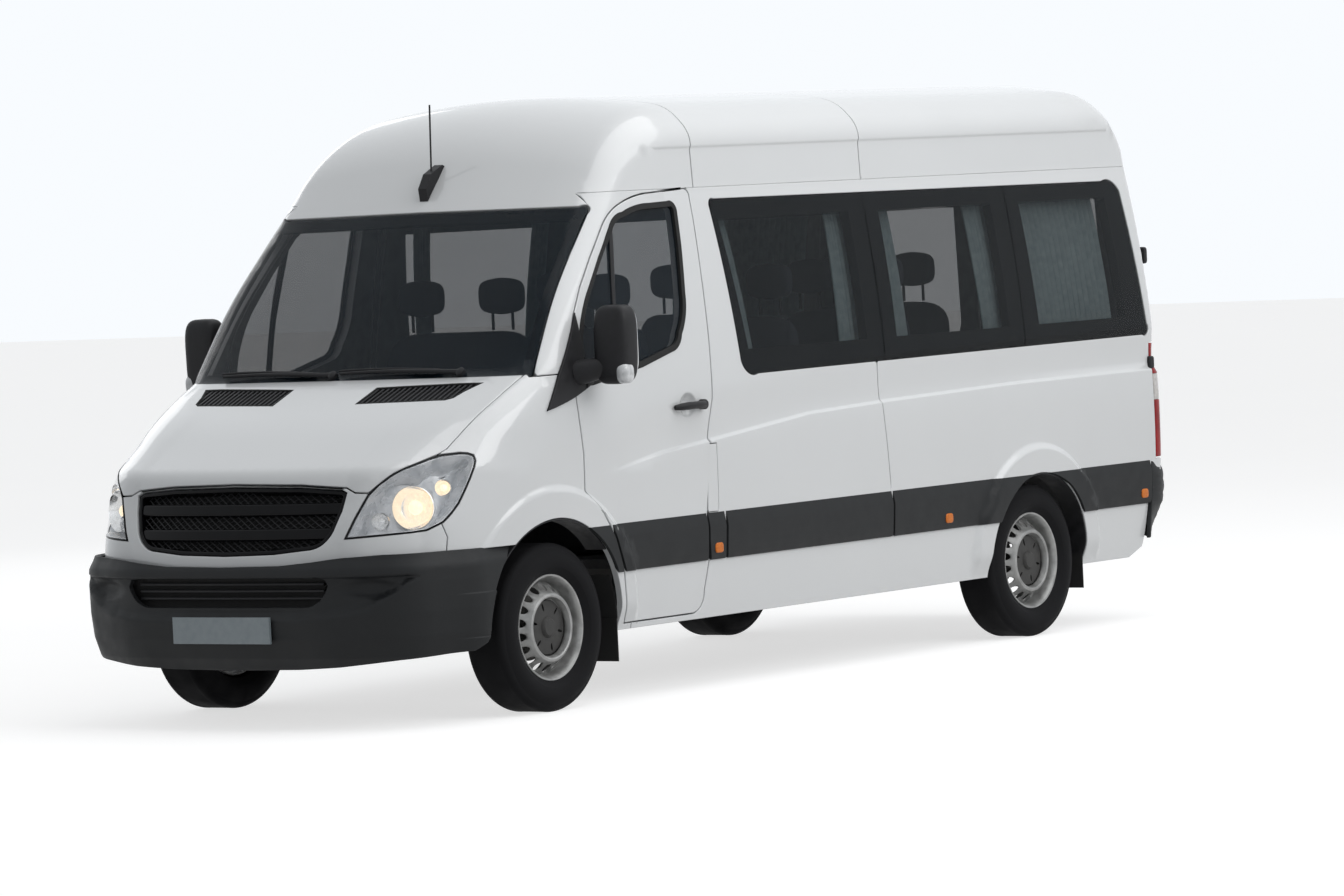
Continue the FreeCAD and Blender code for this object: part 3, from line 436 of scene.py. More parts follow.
def spun(profile, centre, axis, count=48, closed=True, kind=0):
    """A profile of (radius, place along the axis) carried round an axis. A closed profile is a ring."""
    axis = np.array(axis, float) / np.linalg.norm(axis)
    side = np.cross(axis, (0, 0, 1) if abs(axis[2]) < 0.9 else (1, 0, 0))
    side /= np.linalg.norm(side)
    other = np.cross(axis, side)
    a = np.arange(count) * 2 * math.pi / count
    ring = np.cos(a)[:, None] * side + np.sin(a)[:, None] * other
    profile = np.array(profile, float)
    if closed:
        profile = np.concatenate([profile, profile[:1]])
    grid = profile[:, None, :1] * ring[None] + profile[:, None, 1:] * axis + np.array(centre, float)
    area = np.sum(profile[:-1, 0] * profile[1:, 1] - profile[1:, 0] * profile[:-1, 1])
    return grid_part(grid, wrap=True, turned=bool(area < 0), kind=kind)


def tube(path, radius, sides=10):
    """A circle carried along a path, with closed ends. The radius may change along it."""
    path = np.array(path, float)
    way = np.gradient(path, axis=0)
    way /= np.linalg.norm(way, axis=1, keepdims=True)
    up = np.tile([0.0, 0.0, 1.0], (len(path), 1))
    up[np.abs(way[:, 2]) > 0.95] = (1.0, 0.0, 0.0)
    side = np.cross(way, up)
    side /= np.linalg.norm(side, axis=1, keepdims=True)
    other = np.cross(side, way)
    a = np.arange(sides) * 2 * math.pi / sides
    radius = np.broadcast_to(np.asarray(radius, float), len(path))[:, None, None]
    cos, sin = np.cos(a)[None, :, None], np.sin(a)[None, :, None]
    grid = path[:, None] + radius * (cos * side[:, None] + sin * other[:, None])
    return grid_part(grid, wrap=True, ends=True, turned=True)


def rounded_box(centre, half, power=5.0, count=40, rows=22, lean=0.0, kind=0):
    """A superellipsoid: its section's radius follows a superellipse, and so does its outline upwards."""
    a = np.arange(count) * 2 * math.pi / count
    b = np.linspace(-math.pi / 2 + 0.02, math.pi / 2 - 0.02, rows)

    def soft(value, n):
        """A power of the value, with its sign kept."""
        return np.sign(value) * np.abs(value) ** (2.0 / n)

    ring = soft(np.cos(b), power)[:, None]
    x = half[0] * ring * soft(np.cos(a), power)
    y = half[1] * ring * soft(np.sin(a), power)
    z = np.broadcast_to((half[2] * soft(np.sin(b), power))[:, None], x.shape)
    grid = np.stack([x, y + lean * z, z], -1) + np.array(centre)
    return grid_part(grid, wrap=True, ends=True, kind=kind)


def triangulated(loops, step, lines=()):
    """Triangles inside the first loop and outside the others. Lines only add points."""
    points, edges, dense = [], [], []
    start = 0
    for loop, closed in [(l, True) for l in loops] + [(l, False) for l in lines]:
        number = np.arange(len(loop)) + start
        ring = np.stack([number, np.roll(number, -1)], 1)
        edges += (ring if closed else ring[:-1]).tolist()
        points.append(loop)
        after = np.roll(loop, -1, axis=0) if closed else np.concatenate([loop[1:], loop[-1:]])
        dense += [loop + (after - loop) * t for t in np.arange(8) / 8]
        start += len(loop)
    points = np.concatenate(points)
    dense = np.concatenate(dense)
    step = np.array(step)
    low, high = points.min(0), points.max(0)
    count = np.ceil((high - low) / step).astype(int) + 1
    i, j = np.meshgrid(np.arange(count[0]), np.arange(count[1]), indexing="ij")
    grid = np.stack([low[0] + (i + 0.5 * (j % 2)) * step[0], low[1] + j * step[1]], -1).reshape(-1, 2)
    cell = step * 0.42
    taken = np.round((dense - low) / cell).astype(np.int64)
    spread = np.concatenate([taken + (p, q) for p in (-1, 0, 1) for q in (-1, 0, 1)])
    key = np.array([1, 1000003])
    mine = np.round((grid - low) / cell).astype(np.int64)
    grid = grid[~np.isin(mine @ key, np.unique(spread @ key))]
    points = np.concatenate([points, grid])
    result = delaunay_2d_cdt([Vector(p) for p in points], edges, [], 0, 1e-7, False)
    flat = np.array([tuple(p) for p in result[0]])
    faces = np.array([f for f in result[2] if len(f) == 3])
    a, b, c = flat[faces[:, 0]], flat[faces[:, 1]], flat[faces[:, 2]]
    area = (b[:, 0] - a[:, 0]) * (c[:, 1] - a[:, 1]) - (b[:, 1] - a[:, 1]) * (c[:, 0] - a[:, 0])
    faces[area < 0] = faces[area < 0][:, ::-1]
    faces = faces[np.abs(area) > 1e-9]
    middles = flat[faces].mean(1)
    kept = inside(middles, loops[0])
    for hole in loops[1:]:
        kept &= ~inside(middles, hole)
    faces = faces[kept]
    used, back = np.unique(faces, return_inverse=True)
    return flat[used], back.reshape(faces.shape)


def shell_parts(view, outer_loop, depth, step, holes=(), lines=(), edge=SKIN_EDGE, lift=0.0, kinds=(0, 1)):
    """A closed panel: the form's surface inside a loop and outside its holes.

    It is moved along its normals by lift, and has edges rounded by quarter circles, walls, and an inner face a
    depth below. Its outside and its back have the two material numbers, or both the same one.
    """
    kinds = np.broadcast_to(kinds, 2)
    flat, faces = triangulated([outer_loop, *holes], step, lines)
    outer = view.solve(flat)
    around = normals(view.form, outer)
    outer = outer + around * lift
    if np.linalg.det(view.axes) < 0:
        faces = faces[:, ::-1]
    directed = np.concatenate([faces[:, [0, 1]], faces[:, [1, 2]], faces[:, [2, 0]]])
    key = directed @ np.array([1, len(outer)])
    rim = directed[~np.isin(key, directed @ np.array([len(outer), 1]))]
    count = len(outer)
    way = outer[rim[:, 1]] - outer[rim[:, 0]]
    way /= np.maximum(np.linalg.norm(way, axis=1, keepdims=True), 1e-12)
    out = np.cross(way, around[rim[:, 0]])
    out /= np.maximum(np.linalg.norm(out, axis=1, keepdims=True), 1e-12)
    first = np.zeros((count, 3))
    second = np.zeros((count, 3))
    first[rim[:, 0]] = out
    second[rim[:, 1]] = out
    total = first + second
    mitre = total / np.maximum(1.0 + np.sum(first * second, 1, keepdims=True), 0.6)
    unit = total / np.maximum(np.linalg.norm(total, axis=1, keepdims=True), 1e-12)
    on_rim = np.zeros(count, bool)
    on_rim[rim[:, 0]] = True
    rings, ring_normals = [], []
    for a in (0.0, math.pi / 6, math.pi / 3, math.pi / 2):
        rings.append(outer - mitre * edge * (1 - math.sin(a)) - around * edge * (1 - math.cos(a)))
        ring_normals.append(around * math.cos(a) + unit * math.sin(a))
    top = np.where(on_rim[:, None], rings[0], outer)
    parts = [(top, faces, around[faces], kinds[0])]
    below = outer - around * depth
    levels = rings + [below]
    level_normals = ring_normals + [unit]
    for k in range(4):
        a, b = rim[:, 0], rim[:, 1]
        upper, lower = (level_normals[k], level_normals[k + 1]) if k < 3 else (unit, unit)
        faces_k = np.concatenate([np.stack([a, count + a, count + b], 1), np.stack([a, count + b, b], 1)])
        normals_k = np.concatenate([np.stack([upper[a], lower[a], lower[b]], 1),
                                    np.stack([upper[a], lower[b], upper[b]], 1)])
        parts.append((np.concatenate([levels[k], levels[k + 1]]), faces_k, normals_k, kinds[0]))
    back = faces[:, ::-1]
    parts.append((below, back, -around[back], kinds[1]))
    return parts


def mirrored(parts):
    """The same parts on the other side."""
    turned = []
    for points, faces, around, kind in parts:
        faces = np.asarray(faces)[:, ::-1]
        turned.append((points * (1, -1, 1), faces, None if around is None else around[:, ::-1] * (1, -1, 1), kind))
    return turned


def both(parts):
    """The parts and their mirror images."""
    return parts + mirrored(parts)


def plain(parts):
    """The same parts without normals of their own."""
    return [(points, faces, None, kind) for points, faces, _, kind in parts]


def filled(loop, step=0.018, closed=True):
    """A loop with points added along its long runs."""
    after = np.roll(loop, -1, axis=0) if closed else loop[1:]
    out = []
    for a, b in zip(loop, after):
        count = max(1, math.ceil(np.linalg.norm(b - a) / step))
        out.append(a + (b - a) * (np.arange(count) / count)[:, None])
    if not closed:
        out.append(loop[-1:])
    return np.concatenate(out)


def clipped(loop, low, high):
    """The stretch of a closed loop whose first coordinate is between two values."""
    for value, sign in ((low, 1.0), (high, -1.0)):
        kept = []
        for a, b in zip(loop, np.roll(loop, -1, axis=0)):
            da, db = (a[0] - value) * sign, (b[0] - value) * sign
            if da >= 0:
                kept.append(a)
            if da * db < 0:
                kept.append(a + (b - a) * da / (da - db))
        loop = np.array(kept)
    return filled(loop)


def height_band(loop, low, high):
    """The stretch of a loop between two heights."""
    return clipped(loop[:, ::-1], low, high)[:, ::-1]


def ribbon(line, width):
    """A closed loop that keeps half a width from a line on each side."""
    way = np.gradient(line, axis=0)
    way /= np.linalg.norm(way, axis=1, keepdims=True)
    side = np.stack([-way[:, 1], way[:, 0]], 1) * width / 2
    return np.concatenate([line + side, (line - side)[::-1]])


# Materials

def tone(colour):
    """A colour, or a grey given as one number, with full opacity."""
    return (*np.broadcast_to(colour, 3).tolist(), 1.0)


def material(name, base, rough=0.5, metal=0.0, coat=0.0, ior=1.45, alpha=1.0, emission=None):
    """A shader with the values that are the same all over."""
    mat = bpy.data.materials.new(name)
    mat.use_nodes = True
    shader = mat.node_tree.nodes["Principled BSDF"]
    shader.inputs["Base Color"].default_value = tone(base)
    shader.inputs["Roughness"].default_value = rough
    shader.inputs["Metallic"].default_value = metal
    shader.inputs["Coat Weight"].default_value = coat
    shader.inputs["Coat Roughness"].default_value = 0.06
    shader.inputs["IOR"].default_value = ior
    shader.inputs["Alpha"].default_value = alpha
    if emission:
        shader.inputs["Emission Color"].default_value = tone(emission[0])
        shader.inputs["Emission Strength"].default_value = emission[1]
    return mat


def node(mat, kind, **values):
    """A new node with its settings, and the values of its sockets."""
    made = mat.node_tree.nodes.new(kind)
    for key, value in values.items():
        if hasattr(made, key):
            setattr(made, key, value)
        else:
            made.inputs[key.replace("_", " ")].default_value = value
    return made


def link(mat, a, out, b, into):
    """Joins one node's output to another's input."""
    mat.node_tree.links.new(a.outputs[out], b.inputs[into])


def mottled(mat, scale, dark, light, detail=3.0, rough=None):
    """Varies the base colour between two tones with soft noise, and the roughness between two values."""
    shader = mat.node_tree.nodes["Principled BSDF"]
    place = node(mat, "ShaderNodeTexCoord")
    noise = node(mat, "ShaderNodeTexNoise", Scale=scale, Detail=detail)
    link(mat, place, "Object", noise, "Vector")
    ramp = node(mat, "ShaderNodeMapRange", From_Min=0.3, From_Max=0.7)
    link(mat, noise, "Fac", ramp, "Value")
    mix = node(mat, "ShaderNodeMix", data_type="RGBA")
    mix.inputs["A"].default_value = tone(dark)
    mix.inputs["B"].default_value = tone(light)
    link(mat, ramp, "Result", mix, "Factor")
    link(mat, mix, "Result", shader, "Base Color")
    if rough:
        spread = node(mat, "ShaderNodeMapRange", From_Min=0.3, From_Max=0.7, To_Min=rough[0], To_Max=rough[1])
        link(mat, noise, "Fac", spread, "Value")
        link(mat, spread, "Result", shader, "Roughness")
    return mat


def grained(mat, scale, height, kind="ShaderNodeTexNoise"):
    """Adds a fine raised grain. The height is in metres."""
    shader = mat.node_tree.nodes["Principled BSDF"]
    place = node(mat, "ShaderNodeTexCoord")
    grain = node(mat, kind, Scale=scale)
    if kind == "ShaderNodeTexNoise":
        grain.inputs["Detail"].default_value = 2.0
    link(mat, place, "Object", grain, "Vector")
    bump = node(mat, "ShaderNodeBump", Strength=1.0, Distance=height)
    link(mat, grain, "Fac" if kind == "ShaderNodeTexNoise" else "Distance", bump, "Height")
    link(mat, bump, "Normal", shader, "Normal")
    return mat


def paint(name, base):
    """A clear-coated paint, faintly mottled, with a very fine grain."""
    mat = material(name, base, 0.34, coat=0.9, ior=1.45)
    light = tuple(min(1.0, c * 1.008) for c in base)
    dark = tuple(c * 0.99 for c in base)
    mottled(mat, 2.0, dark, light, 2.0, (0.30, 0.38))
    return grained(mat, 900.0, 0.00002)


def finish(name, base, rough, scale, dark, light, spread=None, grain=None, **more):
    """A mottled material, with a raised grain if its scale and height are given."""
    mat = mottled(material(name, base, rough, **more), scale, dark, light, rough=spread)
    return grained(mat, *grain) if grain else mat


CELLS = "ShaderNodeTexVoronoi"
WHITE = paint("white_paint", (0.66, 0.67, 0.675))
BLACK_PLASTIC = finish("black_plastic", (0.013, 0.013, 0.014), 0.5, 30, (0.010, 0.010, 0.011),
                       (0.017, 0.017, 0.019), (0.42, 0.6), grain=(2600, 0.00006), ior=1.3)
GREY_PLASTIC = finish("grey_plastic", (0.014, 0.015, 0.016), 0.55, 14, (0.012, 0.013, 0.014), (0.016, 0.017, 0.018),
                      (0.46, 0.6), grain=(2200, 0.00008), ior=1.3)
GLOSS_BLACK = finish("gloss_black", (0.003, 0.003, 0.004), 0.12, 8, (0.003, 0.003, 0.004), (0.006, 0.006, 0.007),
                     (0.08, 0.18), ior=1.2)
RUBBER = finish("rubber", 0.012, 0.75, 20, 0.009, 0.017, (0.68, 0.85), grain=(900, 0.0001), ior=1.35)
DARK_GLASS = finish("tinted_glass", (0.006, 0.008, 0.010), 0.02, 3, (0.006, 0.009, 0.011), (0.010, 0.013, 0.015),
                    (0.015, 0.03), alpha=0.40, ior=1.28)
CLEAR_GLASS = finish("cabin_glass", (0.008, 0.014, 0.020), 0.02, 3, (0.008, 0.014, 0.020), (0.012, 0.020, 0.028),
                     (0.015, 0.03), alpha=0.42, ior=1.28)
LENS = finish("clear_lens", (0.6, 0.63, 0.66), 0.03, 5, (0.55, 0.58, 0.6), (0.65, 0.68, 0.7), (0.02, 0.04),
              coat=0.5, alpha=0.12)
LENS_SOLID = finish("mirror_lens", (0.55, 0.56, 0.57), 0.12, 40, (0.42, 0.43, 0.44), (0.66, 0.67, 0.68),
                    (0.08, 0.2), coat=1.0)
MIRROR = finish("mirror_glass", (0.75, 0.76, 0.78), 0.03, 5, (0.73, 0.74, 0.76), (0.78, 0.79, 0.8), (0.02, 0.04),
                metal=1.0)
REFLECTOR = finish("lamp_reflector", 0.82, 0.12, 60, 0.76, 0.88, (0.06, 0.2), metal=1.0)
LIT_BULB = finish("lit_bulb", (1.0, 0.86, 0.66), 0.3, 60, (1.0, 0.8, 0.6), (1.0, 0.92, 0.8),
                  emission=((1.0, 0.78, 0.52), 1.1))
WHEEL_STEEL = finish("wheel_steel", (0.30, 0.30, 0.295), 0.42, 25, (0.24, 0.24, 0.235), (0.36, 0.36, 0.355),
                     (0.34, 0.52), grain=(1200, 0.00004), metal=0.55)
CAP_GREY = finish("cap_grey", (0.045, 0.044, 0.042), 0.55, 30, (0.036, 0.035, 0.034), (0.055, 0.054, 0.052),
                  (0.48, 0.62), grain=(1800, 0.00004), ior=1.35)
# Near black and matt: the rims round the bonnet vents, and painted shade on the sheets set behind the grille, the
# intake and the vents, where the space behind them is dark.
RIM_BLACK_AND_SHADE = finish("rim_black_and_painted_shade", 0.006, 0.9, 20, 0.004, 0.009)
LAMP_SILVER = finish("lamp_silver", (0.74, 0.75, 0.77), 0.3, 14, (0.55, 0.57, 0.60), (0.93, 0.93, 0.94),
                     (0.15, 0.4), metal=0.35)
RED_LENS = finish("red_lens", (0.30, 0.012, 0.014), 0.2, 12, (0.24, 0.009, 0.011), (0.36, 0.016, 0.018), (0.1, 0.2),
                  ior=1.3)
PALE_LENS = finish("pale_lens", (0.50, 0.47, 0.45), 0.15, 50, (0.42, 0.40, 0.38), (0.60, 0.57, 0.55), (0.1, 0.22),
                   coat=1.0)
SEAT_CLOTH = finish("seat_cloth", (0.035, 0.042, 0.055), 0.9, 160, (0.026, 0.032, 0.044), (0.05, 0.058, 0.074),
                    (0.82, 0.95), grain=(1400, 0.0003, CELLS))
CURTAIN_CLOTH = finish("curtain_cloth", (0.50, 0.62, 0.64), 0.85, 30, (0.42, 0.54, 0.56), (0.58, 0.70, 0.72),
                       (0.75, 0.92), grain=(1800, 0.0002, CELLS))
TRIM_BLACK = finish("cabin_plastic", (0.03, 0.031, 0.033), 0.65, 40, (0.024, 0.025, 0.027), (0.040, 0.041, 0.044),
                    (0.55, 0.75), grain=(1500, 0.0001, CELLS))
CAST_METAL = finish("cast_metal", (0.16, 0.155, 0.15), 0.55, 18, (0.10, 0.095, 0.09), (0.22, 0.215, 0.205),
                    (0.45, 0.7), grain=(260, 0.0004), metal=0.8)
FLOOR_COVER = finish("floor_cover", (0.05, 0.05, 0.052), 0.8, 24, (0.038, 0.038, 0.04), (0.066, 0.066, 0.068),
                     (0.7, 0.9), grain=(500, 0.0003, CELLS))
PLATE = finish("plate_face", (0.24, 0.28, 0.30), 0.4, 30, (0.22, 0.26, 0.28), (0.26, 0.30, 0.32), (0.34, 0.48),
               coat=0.4)
AMBER = finish("amber_lens", (0.62, 0.17, 0.02), 0.25, 90, (0.55, 0.14, 0.015), (0.7, 0.2, 0.03), (0.12, 0.26),
               ior=1.3)
TYRE_RUBBER = finish("tyre_rubber", (0.008, 0.008, 0.009), 0.8, 12, (0.008, 0.008, 0.009), (0.013, 0.013, 0.014),
                     (0.7, 0.88), grain=(700, 0.00015), ior=1.2)
INNER_TRIM = finish("inner_trim", 0.20, 0.8, 20, 0.17, 0.24, grain=(1500, 0.0001))
CHASSIS = finish("chassis_black", 0.03, 0.7, 12, 0.02, (0.05, 0.046, 0.042), (0.6, 0.85), grain=(300, 0.0003))


# Outlines of the openings and panels, in millimetres: (x, z) on the sides, (y, z) at the front and back

DOOR = [
    (1742, 1300),
    (1718, 1060),
    (1722, 905),
    (1652, 838),
    (1572, 735),
    (1486, 540),
    (1452, 330),
    (960, 330),
    (905, 352, 880, 420),
    (850, 545),
    (862, 760),
    (822, 1060),
    (782, 1240),
    (768, 1480),
    (760, 1750),
    (748, 2000),
    (745, 2120),
    (758, 2140, 790, 2144),
    (1020, 2134),
    (1140, 2122, 1255, 2092),
    (1335, 2055, 1400, 2002),
    (1524, 1870),
    (1624, 1752),
    (1696, 1642),
    (1728, 1560, 1742, 1470),
]
DOOR_WINDOW = [
    (1690, 1352),
    (1668, 1560, 1586, 1720),
    (1470, 1864),
    (1350, 1996),
    (1304, 2036, 1244, 2052),
    (1150, 2076, 1040, 2084),
    (910, 2088),
    (874, 2080, 864, 2046),
    (878, 1900),
    (904, 1700),
    (925, 1600, 966, 1530),
    (1000, 1480, 1040, 1464),
    (1260, 1410),
    (1620, 1352),
]
BAND = [
    (612, 2062),
    (603, 2092, 568, 2098),
    (-2560, 2086),
    (-2656, 2080, -2704, 2034),
    (-2772, 1400),
    (-2772, 1352, -2730, 1348),
    (420, 1330),
    (500, 1336, 546, 1390),
]
BAND_SPLITS = [0.60, -0.556, -1.708, -2.90]
WINDOW_HOLES = [
    [(556, 2010), (-440, 2010), (-440, 1440), (470, 1440)],
    [(-676, 2010), (-1590, 2010), (-1600, 1440), (-676, 1440)],
    [(-1826, 2010), (-2566, 2010), (-2600, 1440), (-1850, 1440)],
]
SLIDING = [(725, 345), (-540, 345), (-540, 2132), (690, 2132), (735, 1160), (725, 1060)]
FUEL_FLAP = [(776, 756), (852, 756), (846, 1046), (776, 1046)]
WINDSCREEN = [
    (0, 1396),
    (928, 1396),
    (850, 2060),
    (842, 2092, 804, 2096),
    (0, 2100),
    (-804, 2096),
    (-842, 2092, -850, 2060),
    (-928, 1396),
]
REAR_OPENING = [
    (816, 596),
    (816, 2150),
    (776, 2308),
    (-776, 2308),
    (-816, 2150),
    (-816, 596),
]
REAR_DOOR = [(4, 604), (808, 604), (808, 2150), (768, 2300), (4, 2300)]
REAR_GLASS = [
    (110, 1430),
    (110, 2050),
    (122, 2078, 150, 2090),
    (650, 2090),
    (684, 2080, 700, 2048),
    (716, 1420),
    (706, 1390, 676, 1380),
    (150, 1380),
    (122, 1392),
]
BONNET = [
    (0, 1019),
    (345, 1012),
    (560, 996),
    (604, 976),
    (664, 973),
    (700, 1006),
    (745, 1048),
    (802, 1086),
    (838, 1112),
    (850, 1130),
    (866, 1220),
    (886, 1326),
    (894, 1408),
]
LAMP_3D = np.array([
    (2839, 590, 790), (2800, 690, 796), (2755, 776, 801), (2700, 828, 804), (2646, 864, 809), (2583, 902, 838),
    (2545, 915, 870), (2505, 923, 908), (2470, 931, 958), (2439, 938, 1006), (2412, 940, 1050), (2398, 939, 1078),
    (2399, 930, 1099), (2418, 916, 1108), (2447, 899, 1112), (2507, 851, 1108), (2560, 828, 1096), (2612, 802, 1080),
    (2660, 772, 1062), (2697, 745, 1042), (2740, 699, 1001), (2767, 665, 962), (2790, 644, 915), (2809, 624, 871),
    (2828, 606, 825),
]) * MM
GRILLE = [
    (0, 1008),
    (340, 1002),
    (538, 988),
    (566, 974),
    (556, 900),
    (530, 820),
    (490, 770, 430, 745),
    (250, 728),
    (0, 722),
    (-250, 728),
    (-430, 745),
    (-490, 770, -530, 820),
    (-556, 900),
    (-566, 974),
    (-538, 988),
    (-340, 1002),
]
SILL_Z = 0.300
GUTTER_TOP = 2.150
BUMPER_TOP = 0.716
PILLAR_FOOT = 1.402
SPLIT_X = 1.400
TAIL_LAMP_Z = (0.756, 1.312)


# Lines on the body

DOOR_LOOP = sampled(DOOR)
BAND_LOOP = sampled(BAND)
SCREEN_LOOP = sampled(WINDSCREEN)
FINE = 1.0


def side_line(points):
    """A line given as seen from the left, in the side map."""
    return SIDE.plane(LEFT.solve(points))


def wing_line(points):
    """A line given as seen from the left, in the wing map."""
    return WING.plane(LEFT.solve(points))


def whole_loop(half):
    """A closed loop from its left half, which starts and ends in the middle."""
    return np.concatenate([half, half[1:-1][::-1] * (1, -1, 1)])


def level(x_from, x_to, z, count=60):
    """A line at one height."""
    return np.stack([np.linspace(x_from, x_to, count), np.full(count, z)], 1)


def upright(u, low, high):
    """A line at one place along u."""
    return level(low, high, u, 40)[:, ::-1]


screen_3d = FRONT.solve(SCREEN_LOOP)
screen_left = screen_3d[(screen_3d[:, 1] > 0.83) & (screen_3d[:, 2] > PILLAR_FOOT)]
screen_left = screen_left[np.argsort(-screen_left[:, 2])]
rear_3d = BACK.solve(upright(0.816, 0.600, GUTTER_TOP))


def side_region():
    """Round the side wall: up the rear corner, along the gutter, down the windscreen pillar and along the sill."""
    return filled(np.concatenate([
        side_line(np.array([(-2.672, 0.345), (-2.686, 0.384), (-2.7105, 0.520), (-2.722, 0.600)])),
        SIDE.plane(rear_3d),
        side_line(level(-2.80, 1.40, GUTTER_TOP, 160)),
        SIDE.plane(screen_left[screen_left[:, 2] < GUTTER_TOP]),
        side_line(level(1.95, SPLIT_X, PILLAR_FOOT)),
        side_line(upright(SPLIT_X, PILLAR_FOOT, SILL_Z)[1:]),
        side_line(level(SPLIT_X, -2.56, SILL_Z, 120)),
    ]))


region = side_region()
door_hole = side_line(offset(DOOR_LOOP, SHUT_GAP))
band_hole = side_line(BAND_LOOP)
front_arch_loop = circle(FRONT_AXLE_X, AXLE_Z, FRONT_ARCH, 128)[2:-2]
front_arch = side_line(front_arch_loop)
rear_arch = side_line(circle(REAR_ARCH_X, AXLE_Z, REAR_ARCH, 128))
window_holes = [side_line(sampled(h)) for h in WINDOW_HOLES]
flap_loop = side_line(sampled(FUEL_FLAP))
sliding_loop = side_line(sampled(SLIDING))
belt_lines = [side_line(np.stack([BELT[2:, 0], BELT[2:, 1] + rise], 1)) for rise in (0.0, 0.007, 0.013, 0.020)]
belt_lines = [filled(l, 0.03, False) for l in belt_lines]
LIP_STEPS = (0.0, -0.014, -0.028, -0.042)
lip_lines = [side_line(circle(place, AXLE_Z, radius + LIP_WIDTH + reach, 120)[4:-4])
             for place, radius in ARCHES for reach in LIP_STEPS]
dish_lines = [side_line(circle(0, 0, radius, 40) * (1.15, 1.0) + (0.958, 1.222))
              for radius in (0.018, 0.026, 0.034, 0.042, 0.050, 0.059)]
SIDE_STEP = (0.036 * FINE, 0.030 * FINE)


def window_band():
    """The black frame behind the side glass."""
    return shell_parts(SIDE, band_hole, 0.046, SIDE_STEP, holes=window_holes, lift=-0.009, edge=0.002, kinds=(2, 1))


joint = ribbon(filled(side_line(np.array([(-0.489, 1.335), (-0.505, 1.14), (-0.545, 0.76)])), 0.03, False), 0.004)
tail_side = LEFT.solve(upright(-2.784, TAIL_LAMP_Z[0] + 0.004, TAIL_LAMP_Z[1] - 0.004))
tail_back = BACK.solve(upright(0.824, TAIL_LAMP_Z[0] + 0.004, TAIL_LAMP_Z[1] - 0.004))
tail_loop = filled(np.concatenate([SIDE.plane(tail_side), SIDE.plane(tail_back)[::-1]]))
body_lines = belt_lines + lip_lines
left_holes = [door_hole, band_hole, front_arch, rear_arch, offset(flap_loop, 0.003), joint, offset(tail_loop, 0.003)]
side_left = shell_parts(SIDE, region, WALL, SIDE_STEP, holes=left_holes, lines=body_lines)
side_left += shell_parts(SIDE, flap_loop, 0.03, SIDE_STEP, edge=0.003)
side_left += window_band()
side_left += shell_parts(SIDE, offset(joint, 0.004), 0.03, SIDE_STEP, lift=-0.008, edge=0.001, kinds=2)
piece("side_left_skin", "body", ["side_left"], side_left, [WHITE, INNER_TRIM, GLOSS_BLACK])

right_holes = [door_hole, band_hole, front_arch, rear_arch, offset(sliding_loop, SHUT_GAP), offset(tail_loop, 0.003)]
side_right = shell_parts(SIDE, region, WALL, SIDE_STEP, holes=right_holes, lines=body_lines)
side_right += window_band()
piece("side_right_skin", "body", ["side_right"], mirrored(side_right), [WHITE, INNER_TRIM, GLOSS_BLACK])
sliding = shell_parts(SIDE, sliding_loop, WALL, SIDE_STEP, holes=[band_hole], lines=belt_lines)
piece("sliding_door_skin", "body", ["sliding_door"], mirrored(sliding), [WHITE, INNER_TRIM])

panes = []
for front, back in zip(BAND_SPLITS[:-1], BAND_SPLITS[1:]):
    pane = side_line(clipped(offset(BAND_LOOP, -0.005), back + 0.003, front - 0.003))
    panes += shell_parts(SIDE, pane, 0.005, (0.12, 0.08), lift=-0.001, edge=0.002, kinds=0)
piece("side_glass_panes", "body", ["side_glass"], both(panes), [DARK_GLASS])


# Front doors

window_loop = side_line(sampled(DOOR_WINDOW))
door_skin = shell_parts(SIDE, side_line(DOOR_LOOP), WALL, (0.030 * FINE, 0.030 * FINE), holes=[window_loop],
                        lines=[l[l[:, 0] > 0.5] for l in belt_lines] + dish_lines + lip_lines[:4])
seal = shell_parts(SIDE, offset(window_loop, 0.010), 0.02, SIDE_STEP, holes=[offset(window_loop, -0.016)],
                   lift=0.003, edge=0.003, kinds=1)
pane_loop = offset(window_loop, -0.004)
door_pane = shell_parts(SIDE, pane_loop, 0.005, (0.1, 0.1), lift=-0.010, edge=0.001, kinds=0)
SIDES = (("left", list), ("right", mirrored))
for side, turn in SIDES:
    rides = "front_door_" + side
    piece("door_%s_skin" % side, rides, ["door_" + side], turn(door_skin), [WHITE, INNER_TRIM])
    piece("door_%s_seal" % side, rides, [], turn(seal), [RUBBER, RUBBER])
    piece("door_%s_pane" % side, rides, ["door_glass_" + side], turn(door_pane), [CLEAR_GLASS])


# Roof

def roof_region():
    """Round the roof, from the rear of the left gutter.

    It goes forwards, across the top of the windscreen, back along the right gutter and over the rear doors.
    """
    gutter = LEFT.solve(level(-2.80, 1.40, GUTTER_TOP, 160))
    top = screen_3d[(screen_3d[:, 2] > GUTTER_TOP - 0.12)]
    top = top[np.argsort(-top[:, 1])]
    top = top[np.abs(top[:, 1]) < 0.842]
    opening = BACK.solve(filled(sampled(REAR_OPENING, closed=False)))
    opening = opening[opening[:, 2] > GUTTER_TOP]
    return filled(np.concatenate([
        ROOF.plane(gutter),
        ROOF.plane(top),
        ROOF.plane(gutter[::-1] * (1, -1, 1)),
        ROOF.plane(opening[np.argsort(opening[:, 1])]),
    ]))


